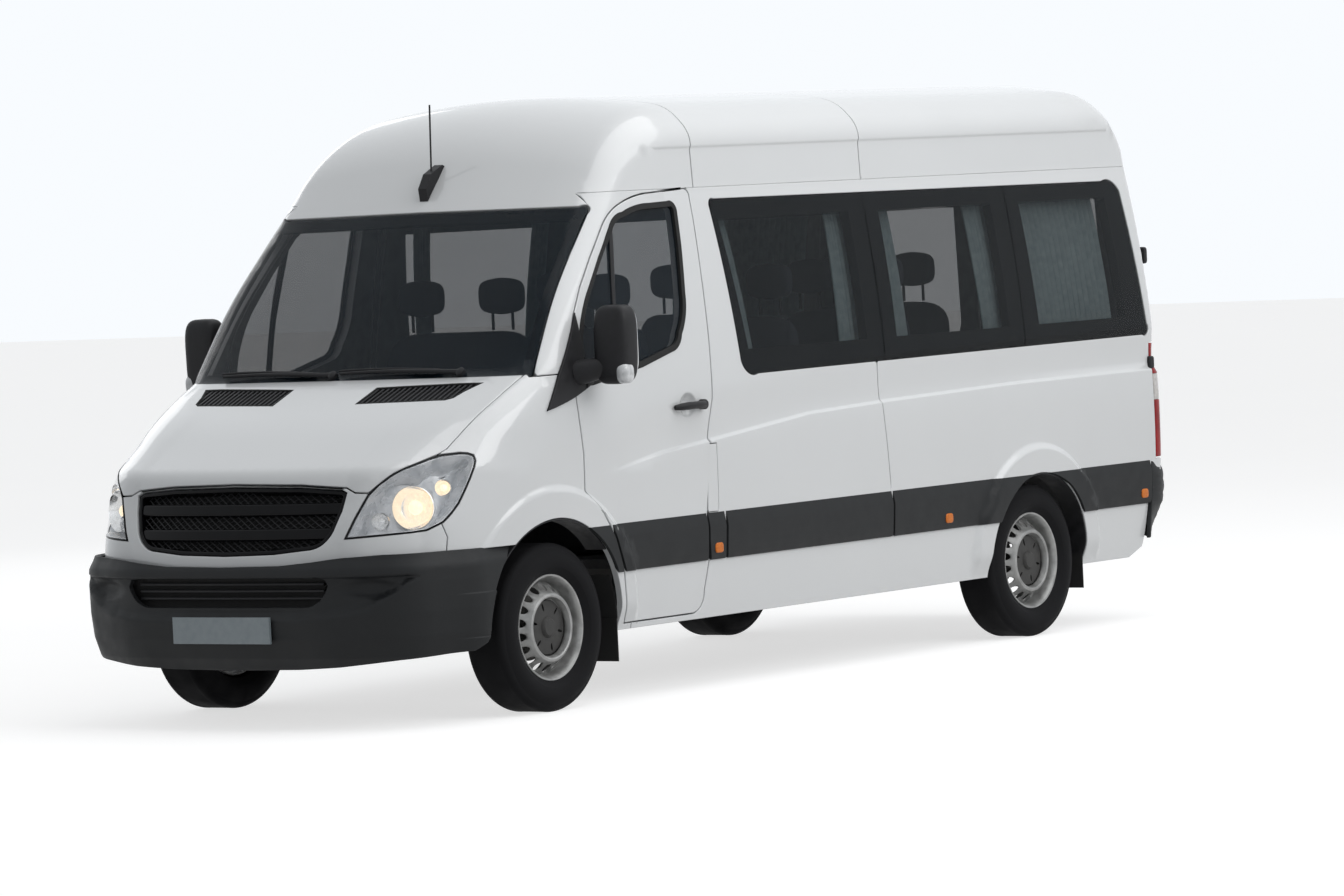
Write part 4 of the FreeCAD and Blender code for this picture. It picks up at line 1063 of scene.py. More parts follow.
roof_loop = roof_region()
grooves = []
for x_low, x_top in ((0.700, 0.690), (-0.575, -0.593)):
    reach = np.linspace(-1.12, 1.12, 120)
    crossing = np.stack([np.interp(np.abs(reach), (0.80, 1.08), (x_top, x_low)), reach], 1)
    grooves.append(ribbon(crossing, 0.006))
shoulder_lines = [ROOF.plane(LEFT.solve(level(-2.66, 0.95, height, 120))) for height in (2.317, 2.325, 2.333)]
shoulder_lines += [line * (1, -1) for line in shoulder_lines]
roof = shell_parts(ROOF, roof_loop, ROOF_WALL, (0.045 * FINE, 0.030 * FINE), holes=grooves, lines=shoulder_lines)
for groove in grooves:
    roof += shell_parts(ROOF, offset(groove, 0.004), 0.020, COARSE, lift=-0.010, edge=0.001, kinds=2)
piece("roof_skin", "body", ["roof"], roof, [WHITE, INNER_TRIM, BLACK_PLASTIC])


# Windscreen

screen_loop = offset(filled(SCREEN_LOOP), -0.006)
clear_loop = offset(filled(SCREEN_LOOP), -0.050)
screen = shell_parts(FRONT, screen_loop, 0.006, (0.08, 0.05), lift=-0.002, edge=0.002, kinds=0)
piece("windscreen_pane", "body", ["windscreen"], screen, [CLEAR_GLASS])
border = shell_parts(FRONT, screen_loop, 0.014, (0.06, 0.05), holes=[clear_loop], lift=-0.009, edge=0.001, kinds=0)
piece("windscreen_border", "body", [], border, [GLOSS_BLACK])


# Bonnet, wings and nose

bonnet_half = sampled(BONNET, closed=False)
bonnet_edge = FRONT.solve(np.concatenate([bonnet_half[1:][::-1] * (-1, 1), bonnet_half]))
bonnet_rear = FRONT.solve(level(0.894, -0.894, 1.408, 80))
bonnet_loop = filled(HOOD.plane(np.concatenate([bonnet_edge, bonnet_rear[1:-1]])))
VENT_3D = np.array([(2280, 227, 1315), (2137, 229, 1374), (2115, 495, 1380), (2091, 753, 1382), (2162, 717, 1353),
                    (2222, 699, 1328), (2242, 672, 1321), (2263, 450, 1318)]) * MM
vent_loop = filled(HOOD.plane(VENT_3D))
vent_holes = [vent_loop, vent_loop * (1, -1)]
bonnet = shell_parts(HOOD, bonnet_loop, 0.028, (0.035 * FINE, 0.035 * FINE), holes=vent_holes)
# The trays under the vent slats are near black: painted shade for the dark space under the bonnet. The rims round the
# vents share that black.
tray_loop = offset(vent_loop, 0.006)
trays = shell_parts(HOOD, tray_loop, 0.003, COARSE, lift=-0.024, edge=0.001, kinds=0)
rim_loops = [offset(vent_loop, 0.004), offset(vent_loop, -0.006)]
trays += shell_parts(HOOD, rim_loops[0], 0.020, COARSE, holes=rim_loops[1:], lift=0.001, edge=0.002, kinds=0)
vent_u = HOOD.plane(VENT_3D)[:, 0]
for y in np.linspace(0.240, 0.735, 19):
    line = level(vent_u.min(), vent_u.max(), y, 30)
    line = line[inside(line, offset(vent_loop, -0.002))]
    if len(line) > 3:
        slat = ribbon(line, 0.011)
        trays += shell_parts(HOOD, slat, 0.005, COARSE, lift=-0.003, edge=0.001, kinds=1)
piece("bonnet_vents", "bonnet", [], both(trays), [RIM_BLACK_AND_SHADE, BLACK_PLASTIC])
piece("bonnet_skin", "bonnet", ["bonnet"], bonnet, [WHITE, INNER_TRIM])

lamp_wing = filled(WING.plane(LAMP_3D))
bonnet_side = bonnet_edge[bonnet_edge[:, 1] > 0.83]
wing_loop = filled(np.concatenate([
    WING.plane(bonnet_side + (0, SHUT_GAP, 0)),
    WING.plane(FRONT.solve(np.array([(0.902, 1.410), (0.920, PILLAR_FOOT - WING_GAP)]))),
    wing_line(level(1.95, 1.50, PILLAR_FOOT - WING_GAP, 20)),
    wing_line(level(SPLIT_X + WING_GAP, SPLIT_X + WING_GAP, 1.0, 2) - [(0, 0), (0, 0.66)]),
    wing_line(level(SPLIT_X + WING_GAP, 1.62, SILL_Z, 12)),
    wing_line(level(2.10, 2.35, BUMPER_TOP, 12)),
    WING.plane(FRONT.solve(np.array([(0.950, BUMPER_TOP), (0.9140, 0.706), (0.9155, 0.775), (0.9000, 0.832),
                                     (0.86, 0.90), (0.84, 1.00), (0.838, 1.108)]))),
]))
wing_holes = [wing_line(offset(DOOR_LOOP, SHUT_GAP)), wing_line(front_arch_loop), offset(lamp_wing, WING_GAP)]
wing_lines = [wing_line(circle(FRONT_AXLE_X, AXLE_Z, FRONT_ARCH + LIP_WIDTH + reach, 120)[4:-4])
              for reach in LIP_STEPS]
wing = shell_parts(WING, wing_loop, 0.030, (0.035 * FINE, 0.035 * FINE), holes=wing_holes, lines=wing_lines)
piece("wing_skins", "body", ["wings"], both(wing), [WHITE, CHASSIS])

lamp_nose = filled(NOSE.plane(LAMP_3D))
grille_loop = sampled(GRILLE)
nose_half = np.array([(0, 672), (430, 678), (500, 692), (760, 704), (912, 706), (914, 775), (898, 832), (820, 900),
                      (720, 950), (664, 967), (604, 970), (560, 990), (345, 1006), (0, 1013)]) * MM
nose_3d = FRONT.solve(nose_half)
nose_loop = filled(NOSE.plane(whole_loop(nose_3d)))
lamp_hole = offset(lamp_nose, WING_GAP)
nose_holes = [NOSE.plane(FRONT.solve(grille_loop)), lamp_hole, lamp_hole * (-1, 1)]
nose = shell_parts(NOSE, nose_loop, 0.030, (0.03 * FINE, 0.03 * FINE), holes=nose_holes)
piece("nose_skin", "body", ["nose_panel"], nose, [WHITE, CHASSIS])

lens = shell_parts(NOSE, lamp_nose, 0.004, (0.04, 0.04), edge=0.002, kinds=0)
piece("lamp_lenses", "body", [], both(lens), [LENS])
inner_lamp = [offset(lamp_nose, -0.001), offset(lamp_nose, -0.007)]
shade = shell_parts(NOSE, inner_lamp[0], 0.120, (0.04, 0.04), holes=inner_lamp[1:], lift=-0.005, edge=0.002,
                    kinds=0)
shade += shell_parts(NOSE, inner_lamp[0], 0.003, (0.04, 0.04), lift=-0.118, edge=0.001, kinds=0)
piece("lamp_bowls", "body", ["headlamps"], both(shade), [LAMP_SILVER])


# Rear doors

rear_door_loop = sampled(REAR_DOOR)
rear_glass_loop = sampled(REAR_GLASS)
rear_skin = shell_parts(BACK, rear_door_loop, 0.045, (0.05 * FINE, 0.05 * FINE), holes=[rear_glass_loop])
rear_pane = shell_parts(BACK, offset(rear_glass_loop, -0.004), 0.005, (0.1, 0.1), lift=-0.006, edge=0.001, kinds=0)
barrel = [(TIP, -0.045), (0.010, -0.045), (0.012, -0.043), (0.012, 0.043), (0.010, 0.045), (TIP, 0.045)]
hinges = []
for height in (0.700, 1.320, 1.722, 2.010):
    hinges.append(spun(barrel, (-2.888, 0.812, height), (0, 0, 1), 20))
    strap = np.array([(0.690, height - 0.022), (0.806, height - 0.036), (0.806, height + 0.036),
                      (0.690, height + 0.022)])
    hinges += plain(shell_parts(BACK, filled(strap), 0.012, COARSE, lift=0.010, edge=0.004, kinds=0))
for side, turn in SIDES:
    rides = "rear_door_" + side
    piece("rear_%s_hinges" % side, rides, [], turn(hinges), [BLACK_PLASTIC], 40.0)
    piece("rear_%s_skin" % side, rides, ["rear_door_" + side], turn(rear_skin), [WHITE, INNER_TRIM])
    piece("rear_%s_pane" % side, rides, ["rear_glass_" + side], turn(rear_pane), [DARK_GLASS])


# Tail lamps: red and pale segments round the rear corner

tail = []
for low, high, kind in ((0.764, 1.036, 0), (1.036, 1.160, 1), (1.160, 1.306, 0)):
    segment = height_band(tail_loop, low, high)
    tail += shell_parts(SIDE, segment, 0.030, (0.02, 0.03), lift=0.001, edge=0.004, kinds=kind)
tail = plain(tail)
for height in (0.858, 0.920):
    spot = circle(SIDE.plane(tail_back)[0, 0] + 0.045, height, 0.020, 28)
    tail += plain(shell_parts(SIDE, spot, 0.010, (0.02, 0.02), lift=0.004, edge=0.003, kinds=1))
brackets = [rounded_box((-2.890, 0.872, 1.722), (0.015, 0.036, 0.040), 6.0),
            rounded_box((-2.786, 0.968, 1.214), (0.021, 0.014, 0.030), 5.0)]
piece("rear_corner_brackets", "body", [], both(brackets), [BLACK_PLASTIC], 40.0)
piece("tail_lamp_lenses", "body", ["tail_lamps"], both(tail), [RED_LENS, PALE_LENS], 40.0)


# Front bumper

BUMPER_PLAN = Chain([
    (2150, -1100),
    (2150, -994),
    (2480, -994, 300),
    (2800, -880, 260),
    (2935, -560, 700),
    (2951, 0, 4000),
    (2935, 560, 700),
    (2800, 880, 260),
    (2480, 994, 300),
    (2150, 994),
    (2150, 1100),
])
BUMPER_INSET = np.array([(230, 92), (250, 72), (300, 36), (380, 12), (480, 2), (600, 0), (660, 2), (668, 4), (700, 22),
                         (730, 34)]) * MM
SMILE = np.array([(0, 446), (300, 447), (520, 456), (620, 470), (720, 500), (810, 548), (880, 610), (920, 660)]) * MM


def front_bumper(p):
    """The bumper's plan line, drawn in by a table of the height.

    The smile-shaped field round the intake and the lamp pockets are pressed in. Ledges run low on the sides.
    """
    x, y, z = p[..., 0], np.abs(p[..., 1]), p[..., 2]
    plan = np.where(y > 1.06, y - 0.994, BUMPER_PLAN.distance(x, p[..., 1]))
    field = step_up(0.0, 0.050, z - np.interp(y, SMILE[:, 0], SMILE[:, 1])) * (1 - step_up(0.622, 0.644, z))
    pocket = 1 - step_up(0.30, 1.0, np.hypot((y - 0.700) / 0.150, (z - 0.585) / 0.050))
    ledge = (1 - step_up(0.536, 0.544, z)) + (1 - step_up(0.352, 0.360, z))
    ledge = ledge * (1 - step_up(2.40, 2.60, x)) * 0.009
    return plan + np.interp(z, BUMPER_INSET[:, 0], BUMPER_INSET[:, 1]) + 0.026 * field + 0.022 * pocket - ledge


BUMPER = View(front_bumper, FORWARDS, NOSE_CORE, 2.20, 1.6)
bumper_top = np.array([(2936, 0, 682), (2925, 300, 686), (2900, 470, 700), (2860, 600, 714), (2800, 758, 722),
                       (2566, 917, 722), (2350, 960, 720), (2240, 966, 716)]) * MM
arch_line = np.linspace(0.714, 0.36, 24)
bumper_rear = np.stack([FRONT_AXLE_X + np.sqrt(0.458 ** 2 - (arch_line - AXLE_Z) ** 2), np.full(24, 0.985),
                        arch_line], 1)
bumper_foot = np.array([(2425, 975, 330), (2479, 951, 302), (2597, 914, 298), (2780, 798, 286), (2862, 548, 262),
                        (2872, 344, 252), (2877, 0, 248)]) * MM
bumper_half = np.concatenate([bumper_top, bumper_rear, bumper_foot])
bumper_loop = filled(BUMPER.plane(whole_loop(bumper_half)), 0.015)
intake_loop = sampled([(-470, 632), (470, 632), (520, 626, 536, 600), (480, 530, 410, 512), (-410, 512),
                       (-480, 530, -536, 600), (-520, 626)])
CREASES = (0.664, 0.622, 0.633, 0.644, 0.536, 0.540, 0.544, 0.352, 0.356, 0.360)
bumper_lines = [level(-1.2, 1.2, height, 120) for height in CREASES]
smile_line = np.concatenate([SMILE[::-1] * (-1, 1), SMILE[1:]])
bumper_lines += [filled(smile_line + (0, r), 0.02, False) for r in (0.0, 0.016, 0.033, 0.050)]
bumper = shell_parts(BUMPER, bumper_loop, 0.020, (0.015 * FINE, 0.010 * FINE), holes=[intake_loop],
                     lines=bumper_lines, edge=0.003, kinds=0)
# A near-black sheet behind the intake: painted shade for the dark space behind it.
bumper += shell_parts(BUMPER, offset(intake_loop, 0.05), 0.006, (0.06, 0.06), lift=-0.055, edge=0.001, kinds=2)
for height in (0.548, 0.578, 0.608):
    blade = np.array([(-0.50, height - 0.005), (0.50, height - 0.005), (0.50, height + 0.005),
                      (-0.50, height + 0.005)])
    bumper += shell_parts(BUMPER, filled(blade, 0.03), 0.020, (0.05, 0.02), lift=-0.030, edge=0.003, kinds=1)
piece("front_bumper_skin", "body", ["front_bumper"], bumper, [GREY_PLASTIC, BLACK_PLASTIC, RIM_BLACK_AND_SHADE])


# Grille: two smooth bars and three bands of diamond mesh in front of a near-black sheet of painted shade

# A near-black sheet behind the grille: painted shade for the dark space behind it.
painted_shade_sheet = shell_parts(NOSE, offset(grille_loop, 0.012), 0.004, COARSE, lift=-0.075, edge=0.001, kinds=0)
rim_out, rim_in = offset(grille_loop, -0.003), offset(grille_loop, -0.020)
frame_parts = shell_parts(NOSE, rim_out, 0.060, (0.04, 0.04), holes=[rim_in], lift=-0.008, edge=0.006, kinds=0)

net = offset(grille_loop, -0.012)
for low, high in ((0.893, 0.942), (0.790, 0.840)):
    bar = height_band(net, low, high)
    frame_parts += shell_parts(NOSE, bar, 0.030, (0.04, 0.016), lift=-0.016, edge=0.011, kinds=0)
lattice = []
for low, high in ((0.722, 0.792), (0.838, 0.895), (0.940, 1.012)):
    for lean in (-1, 1):
        across = np.arange(-0.66, 0.66, 0.040)
        t = np.linspace(0, 1, 5)
        lines = np.stack([across[:, None] + lean * (high - low) * 1.55 * (t[None] - 0.5),
                          np.broadcast_to(low + (high - low) * t, (len(across), 5))], -1)
        for line in lines:
            kept = line[inside(line, net)]
            if len(kept) >= 2:
                spot = NOSE.solve(kept)
                spot = spot - normals(body, spot) * (0.034 + 0.003 * lean)
                lattice.append(tube(spot, 0.0028, 4))
piece("grille_bars", "body", ["grille"], frame_parts + [(p, f, n, 1) for p, f, n, _ in painted_shade_sheet], [GLOSS_BLACK, RIM_BLACK_AND_SHADE])
piece("grille_mesh", "body", [], lattice, [BLACK_PLASTIC], 20.0)


# Side mouldings: a strip with a bevelled top

def moulding_form(p):
    """The plain side, pushed out by a table of the height."""
    z = p[..., 2]
    return body(p) - np.interp(z, (0.545, 0.556, 0.690, 0.706, 0.756), (0.006, 0.013, 0.014, 0.012, 0.001))


STRIP = View(moulding_form, LEFTWARDS, SIDE_CORE, 0.60, 1.6)
strip_lines = [level(-2.72, 1.7, height, 200) for height in (0.556, 0.690, 0.706)]


def strip(outline, cut):
    """One length of moulding inside an outline, cut round the wheels."""
    loop = filled(STRIP.plane(LEFT.solve(filled(np.array(outline, float) * MM))))
    holes = [STRIP.plane(LEFT.solve(c)) for c in cut]
    return shell_parts(STRIP, loop, 0.016, (0.06, 0.03), holes=holes, lines=strip_lines, edge=0.002, kinds=0)


front_wheel_cut = circle(FRONT_AXLE_X, AXLE_Z, FRONT_ARCH + 0.001, 128)[2:-2]
rear_wheel_cut = circle(REAR_ARCH_X, AXLE_Z, REAR_ARCH + 0.001, 128)
rows = [
    ([(738, 548), (846, 548), (856, 640), (860, 752), (738, 752)], []),
    ([(-542, 548), (724, 548), (724, 752), (-542, 752)], []),
    ([(-1700, 548), (-554, 548), (-554, 752), (-1700, 752)], [rear_wheel_cut]),
    ([(-2724, 548), (-1760, 548), (-1760, 752), (-2724, 752)], [rear_wheel_cut]),
    ([(1500, 548), (1700, 548), (1730, 752), (1590, 752), (1560, 690)], [front_wheel_cut]),
]
strips = []
for outline, cut in rows:
    strips += strip(outline, cut)
piece("moulding_strips", "body", ["side_mouldings"], both(strips), [GREY_PLASTIC])
door_strip = strip([(866, 548), (1486, 548), (1548, 690), (1574, 752), (870, 752)], [])
for side, turn in SIDES:
    piece("door_%s_strip" % side, "front_door_" + side, ["door_moulding_" + side], turn(door_strip),
          [GREY_PLASTIC])


# Wheels: a pressed steel disc with a ring of holes, a deep barrel and a plastic cap

DISC = np.array([(0, 918), (118, 918), (121, 934), (126, 948), (133, 951), (142, 948), (149, 938), (156, 925),
                 (190, 884), (198, 880), (204, 890), (207, 935)]) * MM
BARREL = np.array([(206, 780), (212, 786), (207, 800), (199, 830), (196, 880), (201, 915), (206, 932), (214, 942),
                   (221, 944), (224, 938), (222, 930), (212, 926), (206, 910), (203, 870), (205, 830)]) * MM


CAP = np.array([(14, 941), (34, 940), (40, 934), (44, 926), (60, 926), (112, 922), (118, 916)]) * MM


def hub_circle(radius, count):
    """A circle round the front wheel's middle."""
    return circle(FRONT_AXLE_X, AXLE_Z, radius, count)


def hub_rings(radii, count):
    """Closed lines round the front wheel's middle."""
    rings = [hub_circle(radius, count) for radius in radii]
    return [np.concatenate([ring, ring[:1]]) for ring in rings]


def turned_form(table):
    """A form that stands out from the wheel's plane by a table of the radius."""
    def form(p):
        """The distance along the axle to the table's line."""
        r = np.hypot(p[..., 0] - FRONT_AXLE_X, p[..., 2] - AXLE_Z)
        return p[..., 1] - np.interp(r, table[:, 0], table[:, 1])
    return form


def ovals(turns, radius, half_out, half_round, count):
    """Oval holes at angles round the wheel's middle, with their half sizes outwards and round it."""
    spin = np.arange(count) * 2 * math.pi / count
    along = radius + half_out * np.cos(spin)
    beside = half_round * np.sin(spin)
    return [np.stack([FRONT_AXLE_X + along * math.cos(turn) - beside * math.sin(turn),
                      AXLE_Z + along * math.sin(turn) + beside * math.cos(turn)], 1) for turn in turns]


WHEEL = View(turned_form(DISC), LEFTWARDS, FLAT, 0.80, 0.3)
CAP_VIEW = View(turned_form(CAP), LEFTWARDS, FLAT, 0.80, 0.3)
hand_holes = ovals([(number + 0.5) * 2 * math.pi / 18 for number in range(18)], 0.170, 0.0165, 0.0175, 24)
slots = ovals([number * math.pi / 3 + 0.25 for number in range(6)], 0.088, 0.017, 0.0055, 20)
wheel = shell_parts(WHEEL, hub_circle(0.200, 120), 0.005, (0.012, 0.012), holes=[hub_circle(0.119, 64)] + hand_holes,
                    lines=hub_rings((0.121, 0.127, 0.133, 0.142, 0.149, 0.156), 96), edge=0.0015, kinds=0)
wheel.append(spun(BARREL, (FRONT_AXLE_X, 0, AXLE_Z), (0, 1, 0), 96))
wheel += shell_parts(CAP_VIEW, hub_circle(0.1175, 96), 0.006, (0.014, 0.014), holes=slots,
                     lines=hub_rings((0.014, 0.034, 0.040, 0.044, 0.060, 0.112), 72), edge=0.001, kinds=1)
# A black disc behind the cap's slots: painted shade for the dark hollow behind them.
wheel.append(shell_parts(CAP_VIEW, hub_circle(0.110, 48), 0.004, COARSE, lift=-0.016, edge=0.001,
                         kinds=2)[0])
wheel = plain(wheel)
for end, along in (("front", 0.0), ("rear", REAR_AXLE_X - FRONT_AXLE_X)):
    shifted = [(points + (along, 0, 0), faces, None, kind) for points, faces, _, kind in wheel]
    for side, turn in SIDES:
        name = end + "_" + side
        piece("wheel_%s_disc" % name, "wheel_" + name, ["rim_" + name], turn(shifted),
              [WHEEL_STEEL, CAP_GREY, BLACK_PLASTIC], 30.0)


# Headlamps: a dark rim, a bowl, and round reflectors behind the lens

def dish(centre, way, radius, depth):
    """A round bowl that faces along a direction, with a rolled rim."""
    profile = [(radius * 1.06, 0.004), (radius * 1.03, 0.008), (radius, 0.004), (radius * 0.9, -depth * 0.34),
               (radius * 0.7, -depth * 0.62), (radius * 0.45, -depth * 0.85), (radius * 0.2, -depth),
               (TIP, -depth), (TIP, -depth - 0.004), (radius * 0.5, -depth * 0.9 - 0.004),
               (radius * 0.95, -depth * 0.34 - 0.004), (radius * 1.06, -0.004)]
    return spun(profile, centre, way)


def bulb(centre, way, radius, kind):
    """A sphere whose poles lie along a direction."""
    a = np.linspace(0.0, math.pi, 9)
    profile = np.stack([np.maximum(radius * np.sin(a), 0.0003), -radius * np.cos(a)], 1)
    return spun(profile, centre, way, 24, closed=False, kind=kind)


LAMP_WAY = np.array([0.93, 0.36, 0.04])
lamp_parts = []
for centre, bowl_radius, bowl_depth, bulb_depth, bulb_radius, kind in (
        ((2.640, 0.796, 0.900), 0.086, 0.055, 0.030, 0.030, 1),
        ((2.550, 0.885, 0.975), 0.033, 0.026, 0.010, 0.015, 1),
        ((2.725, 0.690, 0.850), 0.036, 0.030, 0.018, 0.013, 0)):
    lamp_parts.append(dish(centre, LAMP_WAY, bowl_radius, bowl_depth))
    lamp_parts.append(bulb(np.array(centre) - LAMP_WAY * bulb_depth, LAMP_WAY, bulb_radius, kind))
piece("lamp_reflectors", "body", [], both(lamp_parts), [REFLECTOR, LIT_BULB], 40.0)
gasket = shell_parts(NOSE, offset(lamp_nose, 0.003), 0.03, COARSE, holes=[offset(lamp_nose, -0.004)],
                     lift=0.001, edge=0.002, kinds=0)
piece("lamp_gaskets", "body", [], both(gasket), [GLOSS_BLACK])


# Rear bumper: a plan line drawn in under the corners, with a step over the middle

REAR_PLAN = Chain([
    (-2500, 1100),
    (-2500, 990),
    (-2890, 984, 110),
    (-2938, 800, 200),
    (-2952, 480, 900),
    (-2952, -480, 900),
    (-2938, -800, 200),
    (-2890, -984, 110),
    (-2500, -990),
    (-2500, -1100),
])
REAR_INSET = np.array([(380, 120), (420, 84), (480, 44), (550, 10), (620, 0), (690, 2), (752, 18)]) * MM


def rear_bumper(p):
    """The plan line, drawn in by a table of the height.

    It is drawn in fully at the corners, by a third in the middle and not at all where it meets the sides.
    """
    z = p[..., 2]
    share = (0.33 + 0.67 * step_up(0.45, 0.85, np.abs(p[..., 1]))) * step_up(-2.68, -2.86, p[..., 0])
    return REAR_PLAN.distance(p[..., 0], p[..., 1]) + np.interp(z, REAR_INSET[:, 0], REAR_INSET[:, 1]) * share


BEHIND = View(rear_bumper, BACKWARDS, NOSE_CORE, 2.20, 1.6)
BESIDE = View(rear_bumper, LEFTWARDS, FLAT, 0.3, 1.2)
AFT = View(rear_bumper, BACKWARDS, FLAT, 2.0, 1.4)
rear_half = np.concatenate([
    AFT.solve(np.array([(0.0, 0.588), (0.900, 0.588), (0.912, 0.600), (0.918, 0.700), (0.930, 0.747)])),
    BESIDE.solve(np.stack([np.linspace(-2.800, -2.735, 4), np.full(4, 0.747)], 1)),
    BESIDE.solve(np.array([(-2.715, 0.520), (-2.690, 0.384)])),
    BESIDE.solve(np.array([(-2.760, 0.384)])),
    AFT.solve(np.array([(0.840, 0.384), (0.0, 0.384)])),
])
rear_loop = filled(BEHIND.plane(whole_loop(rear_half)), 0.015)
rear_lines = [level(-1.6, 1.6, height, 160) for height in (0.420, 0.480, 0.550, 0.620, 0.690)]
rear_bar = plain(shell_parts(BEHIND, rear_loop, 0.018, (0.03 * FINE, 0.016 * FINE), lines=rear_lines, edge=0.005,
                             kinds=0))
rear_bar.append(rounded_box((-2.882, 0.0, 0.581), (0.062, 0.826, 0.006), 9.0, kind=1))
piece("rear_bumper_skin", "body", ["rear_bumper"], rear_bar, [GREY_PLASTIC, BLACK_PLASTIC], 30.0)


# Panels under the front doorways, side markers and the flanges inside the wheel arches

risers = [rounded_box((1.190, 0.922, 0.465), (0.290, 0.007, 0.140), 12.0)]
piece("doorway_risers", "body", [], both(risers), [TRIM_BLACK], 40.0)

MARKER_Z = 0.598
markers = [rounded_box((along, LEFT.solve(np.array([(along, MARKER_Z)]))[0, 1] + 0.012, MARKER_Z),
                       (0.029, 0.007, 0.022), 4.0)
           for along in (0.792, -0.990, -2.660)]
piece("side_marker_lenses", "body", ["side_markers"], both(markers), [AMBER], 60.0)


def arch_flange(place, radius, first, last):
    """A strip bent round an arch just inside its edge, from the skin inwards."""
    a = np.radians(np.linspace(first, last, 90))
    rim = np.stack([place + (radius - 0.002) * np.cos(a), AXLE_Z + (radius - 0.002) * np.sin(a)], 1)
    face = LEFT.solve(rim)[:, 1]
    grid = np.empty((len(a), 4, 3))
    for k, (inset, depth) in enumerate(((0.002, 0.006), (0.008, 0.006), (0.008, 0.110), (0.002, 0.110))):
        grid[:, k, 0] = place + (radius - inset) * np.cos(a)
        grid[:, k, 1] = face - depth
        grid[:, k, 2] = AXLE_Z + (radius - inset) * np.sin(a)
    return grid_part(grid, wrap=True, ends=True, turned=True)


flanges = [arch_flange(FRONT_AXLE_X, FRONT_ARCH, -4, 138), arch_flange(REAR_ARCH_X, REAR_ARCH, -4, 184)]
piece("arch_flanges", "body", [], both(flanges), [BLACK_PLASTIC], 30.0)


# Mirrors, handles and the window post, on the front doors

FOOT_3D = np.array([(1956, 978, 1252), (1858, 969, 1398), (1764, 960, 1533), (1700, 950, 1650), (1660, 962, 1440),
                    (1625, 972, 1352), (1790, 976, 1290)]) * MM
foot_loop = filled(SIDE.plane(FOOT_3D), 0.02)
triangle = shell_parts(SIDE, clipped(foot_loop, 1.722, FAR), 0.010, (0.03, 0.03), lift=0.012, kinds=0)
piece("pillar_triangles", "body", [], both(triangle), [BLACK_PLASTIC])
foot = plain(shell_parts(SIDE, clipped(foot_loop, -FAR, 1.716), 0.016, (0.03, 0.03), lift=0.012, kinds=0))
arm_path = np.array([(1.720, 0.965, 1.400), (1.705, 1.000, 1.405), (1.680, 1.050, 1.415), (1.655, 1.090, 1.430)])
arm = tube(arm_path, (0.055, 0.052, 0.046, 0.042), 20)
housing = rounded_box((1.645, 1.122, 1.512), (0.062, 0.086, 0.166), 4.2, lean=0.02)
glass = rounded_box((1.588, 1.122, 1.520), (0.006, 0.072, 0.140), 4.5, kind=1)
indicator = rounded_box((1.668, 1.182, 1.392), (0.040, 0.028, 0.044), 3.0, kind=2)
grip_path = np.array([(1.066, 0.988, 1.216), (1.040, 1.004, 1.218), (1.000, 1.010, 1.220), (0.930, 1.010, 1.220),
                      (0.880, 1.006, 1.220), (0.856, 0.990, 1.220)])
grip = tube(grip_path, (0.011, 0.0155, 0.0165, 0.0165, 0.017, 0.013), 16)
boss = spun([(TIP, -0.02), (0.022, -0.02), (0.022, 0.010), (0.018, 0.015), (TIP, 0.016)],
            (0.866, 0.992, 1.220), (0, 1, 0), 24)
post_line = side_line(np.array([(1.331, 2.040), (1.405, 1.66), (1.43, 1.40)]))
post_loop = ribbon(filled(post_line, 0.03, False), 0.026)
post = plain(shell_parts(SIDE, post_loop, 0.020, COARSE, lift=-0.004, edge=0.003, kinds=0))
fittings = foot + [arm, housing, grip, boss] + post + [glass, indicator]
for side, turn in SIDES:
    piece("door_%s_fittings" % side, "front_door_" + side, ["door_fittings_" + side], turn(fittings),
          [BLACK_PLASTIC, MIRROR, LENS_SOLID], 40.0)


# Wipers, parked along the foot of the windscreen

def over_glass(y_to_z, lift):
    """Points (y, z) in millimetres on the windscreen, lifted off it."""
    spots = FRONT.solve(np.array(y_to_z) * MM)
    return spots + normals(body, spots) * lift


wipers = []
for pivot, tip in ((600, -40), (-80, -700)):
    run = np.linspace(pivot, tip, 9)
    up = 1424 + 12 * np.sin(np.linspace(0.2, 2.4, 9))
    wipers.append(tube(over_glass(np.stack([run, up - 8], 1), 0.020), np.linspace(0.011, 0.006, 9), 8))
    wipers.append(tube(over_glass(np.stack([np.linspace(pivot - 120, tip - 20, 9), up + 8], 1), 0.009), 0.0055, 8))
    wipers.append(spun([(TIP, -0.03), (0.022, -0.03), (0.020, 0.02), (0.012, 0.026), (TIP, 0.026)],
                       over_glass([(pivot, 1418)], 0.004)[0], (0.7, 0, 0.7), 20))
piece("wiper_arms", "body", ["wipers"], wipers, [BLACK_PLASTIC], 40.0)


# Seats: padded cushions, backs and headrests on moulded bases

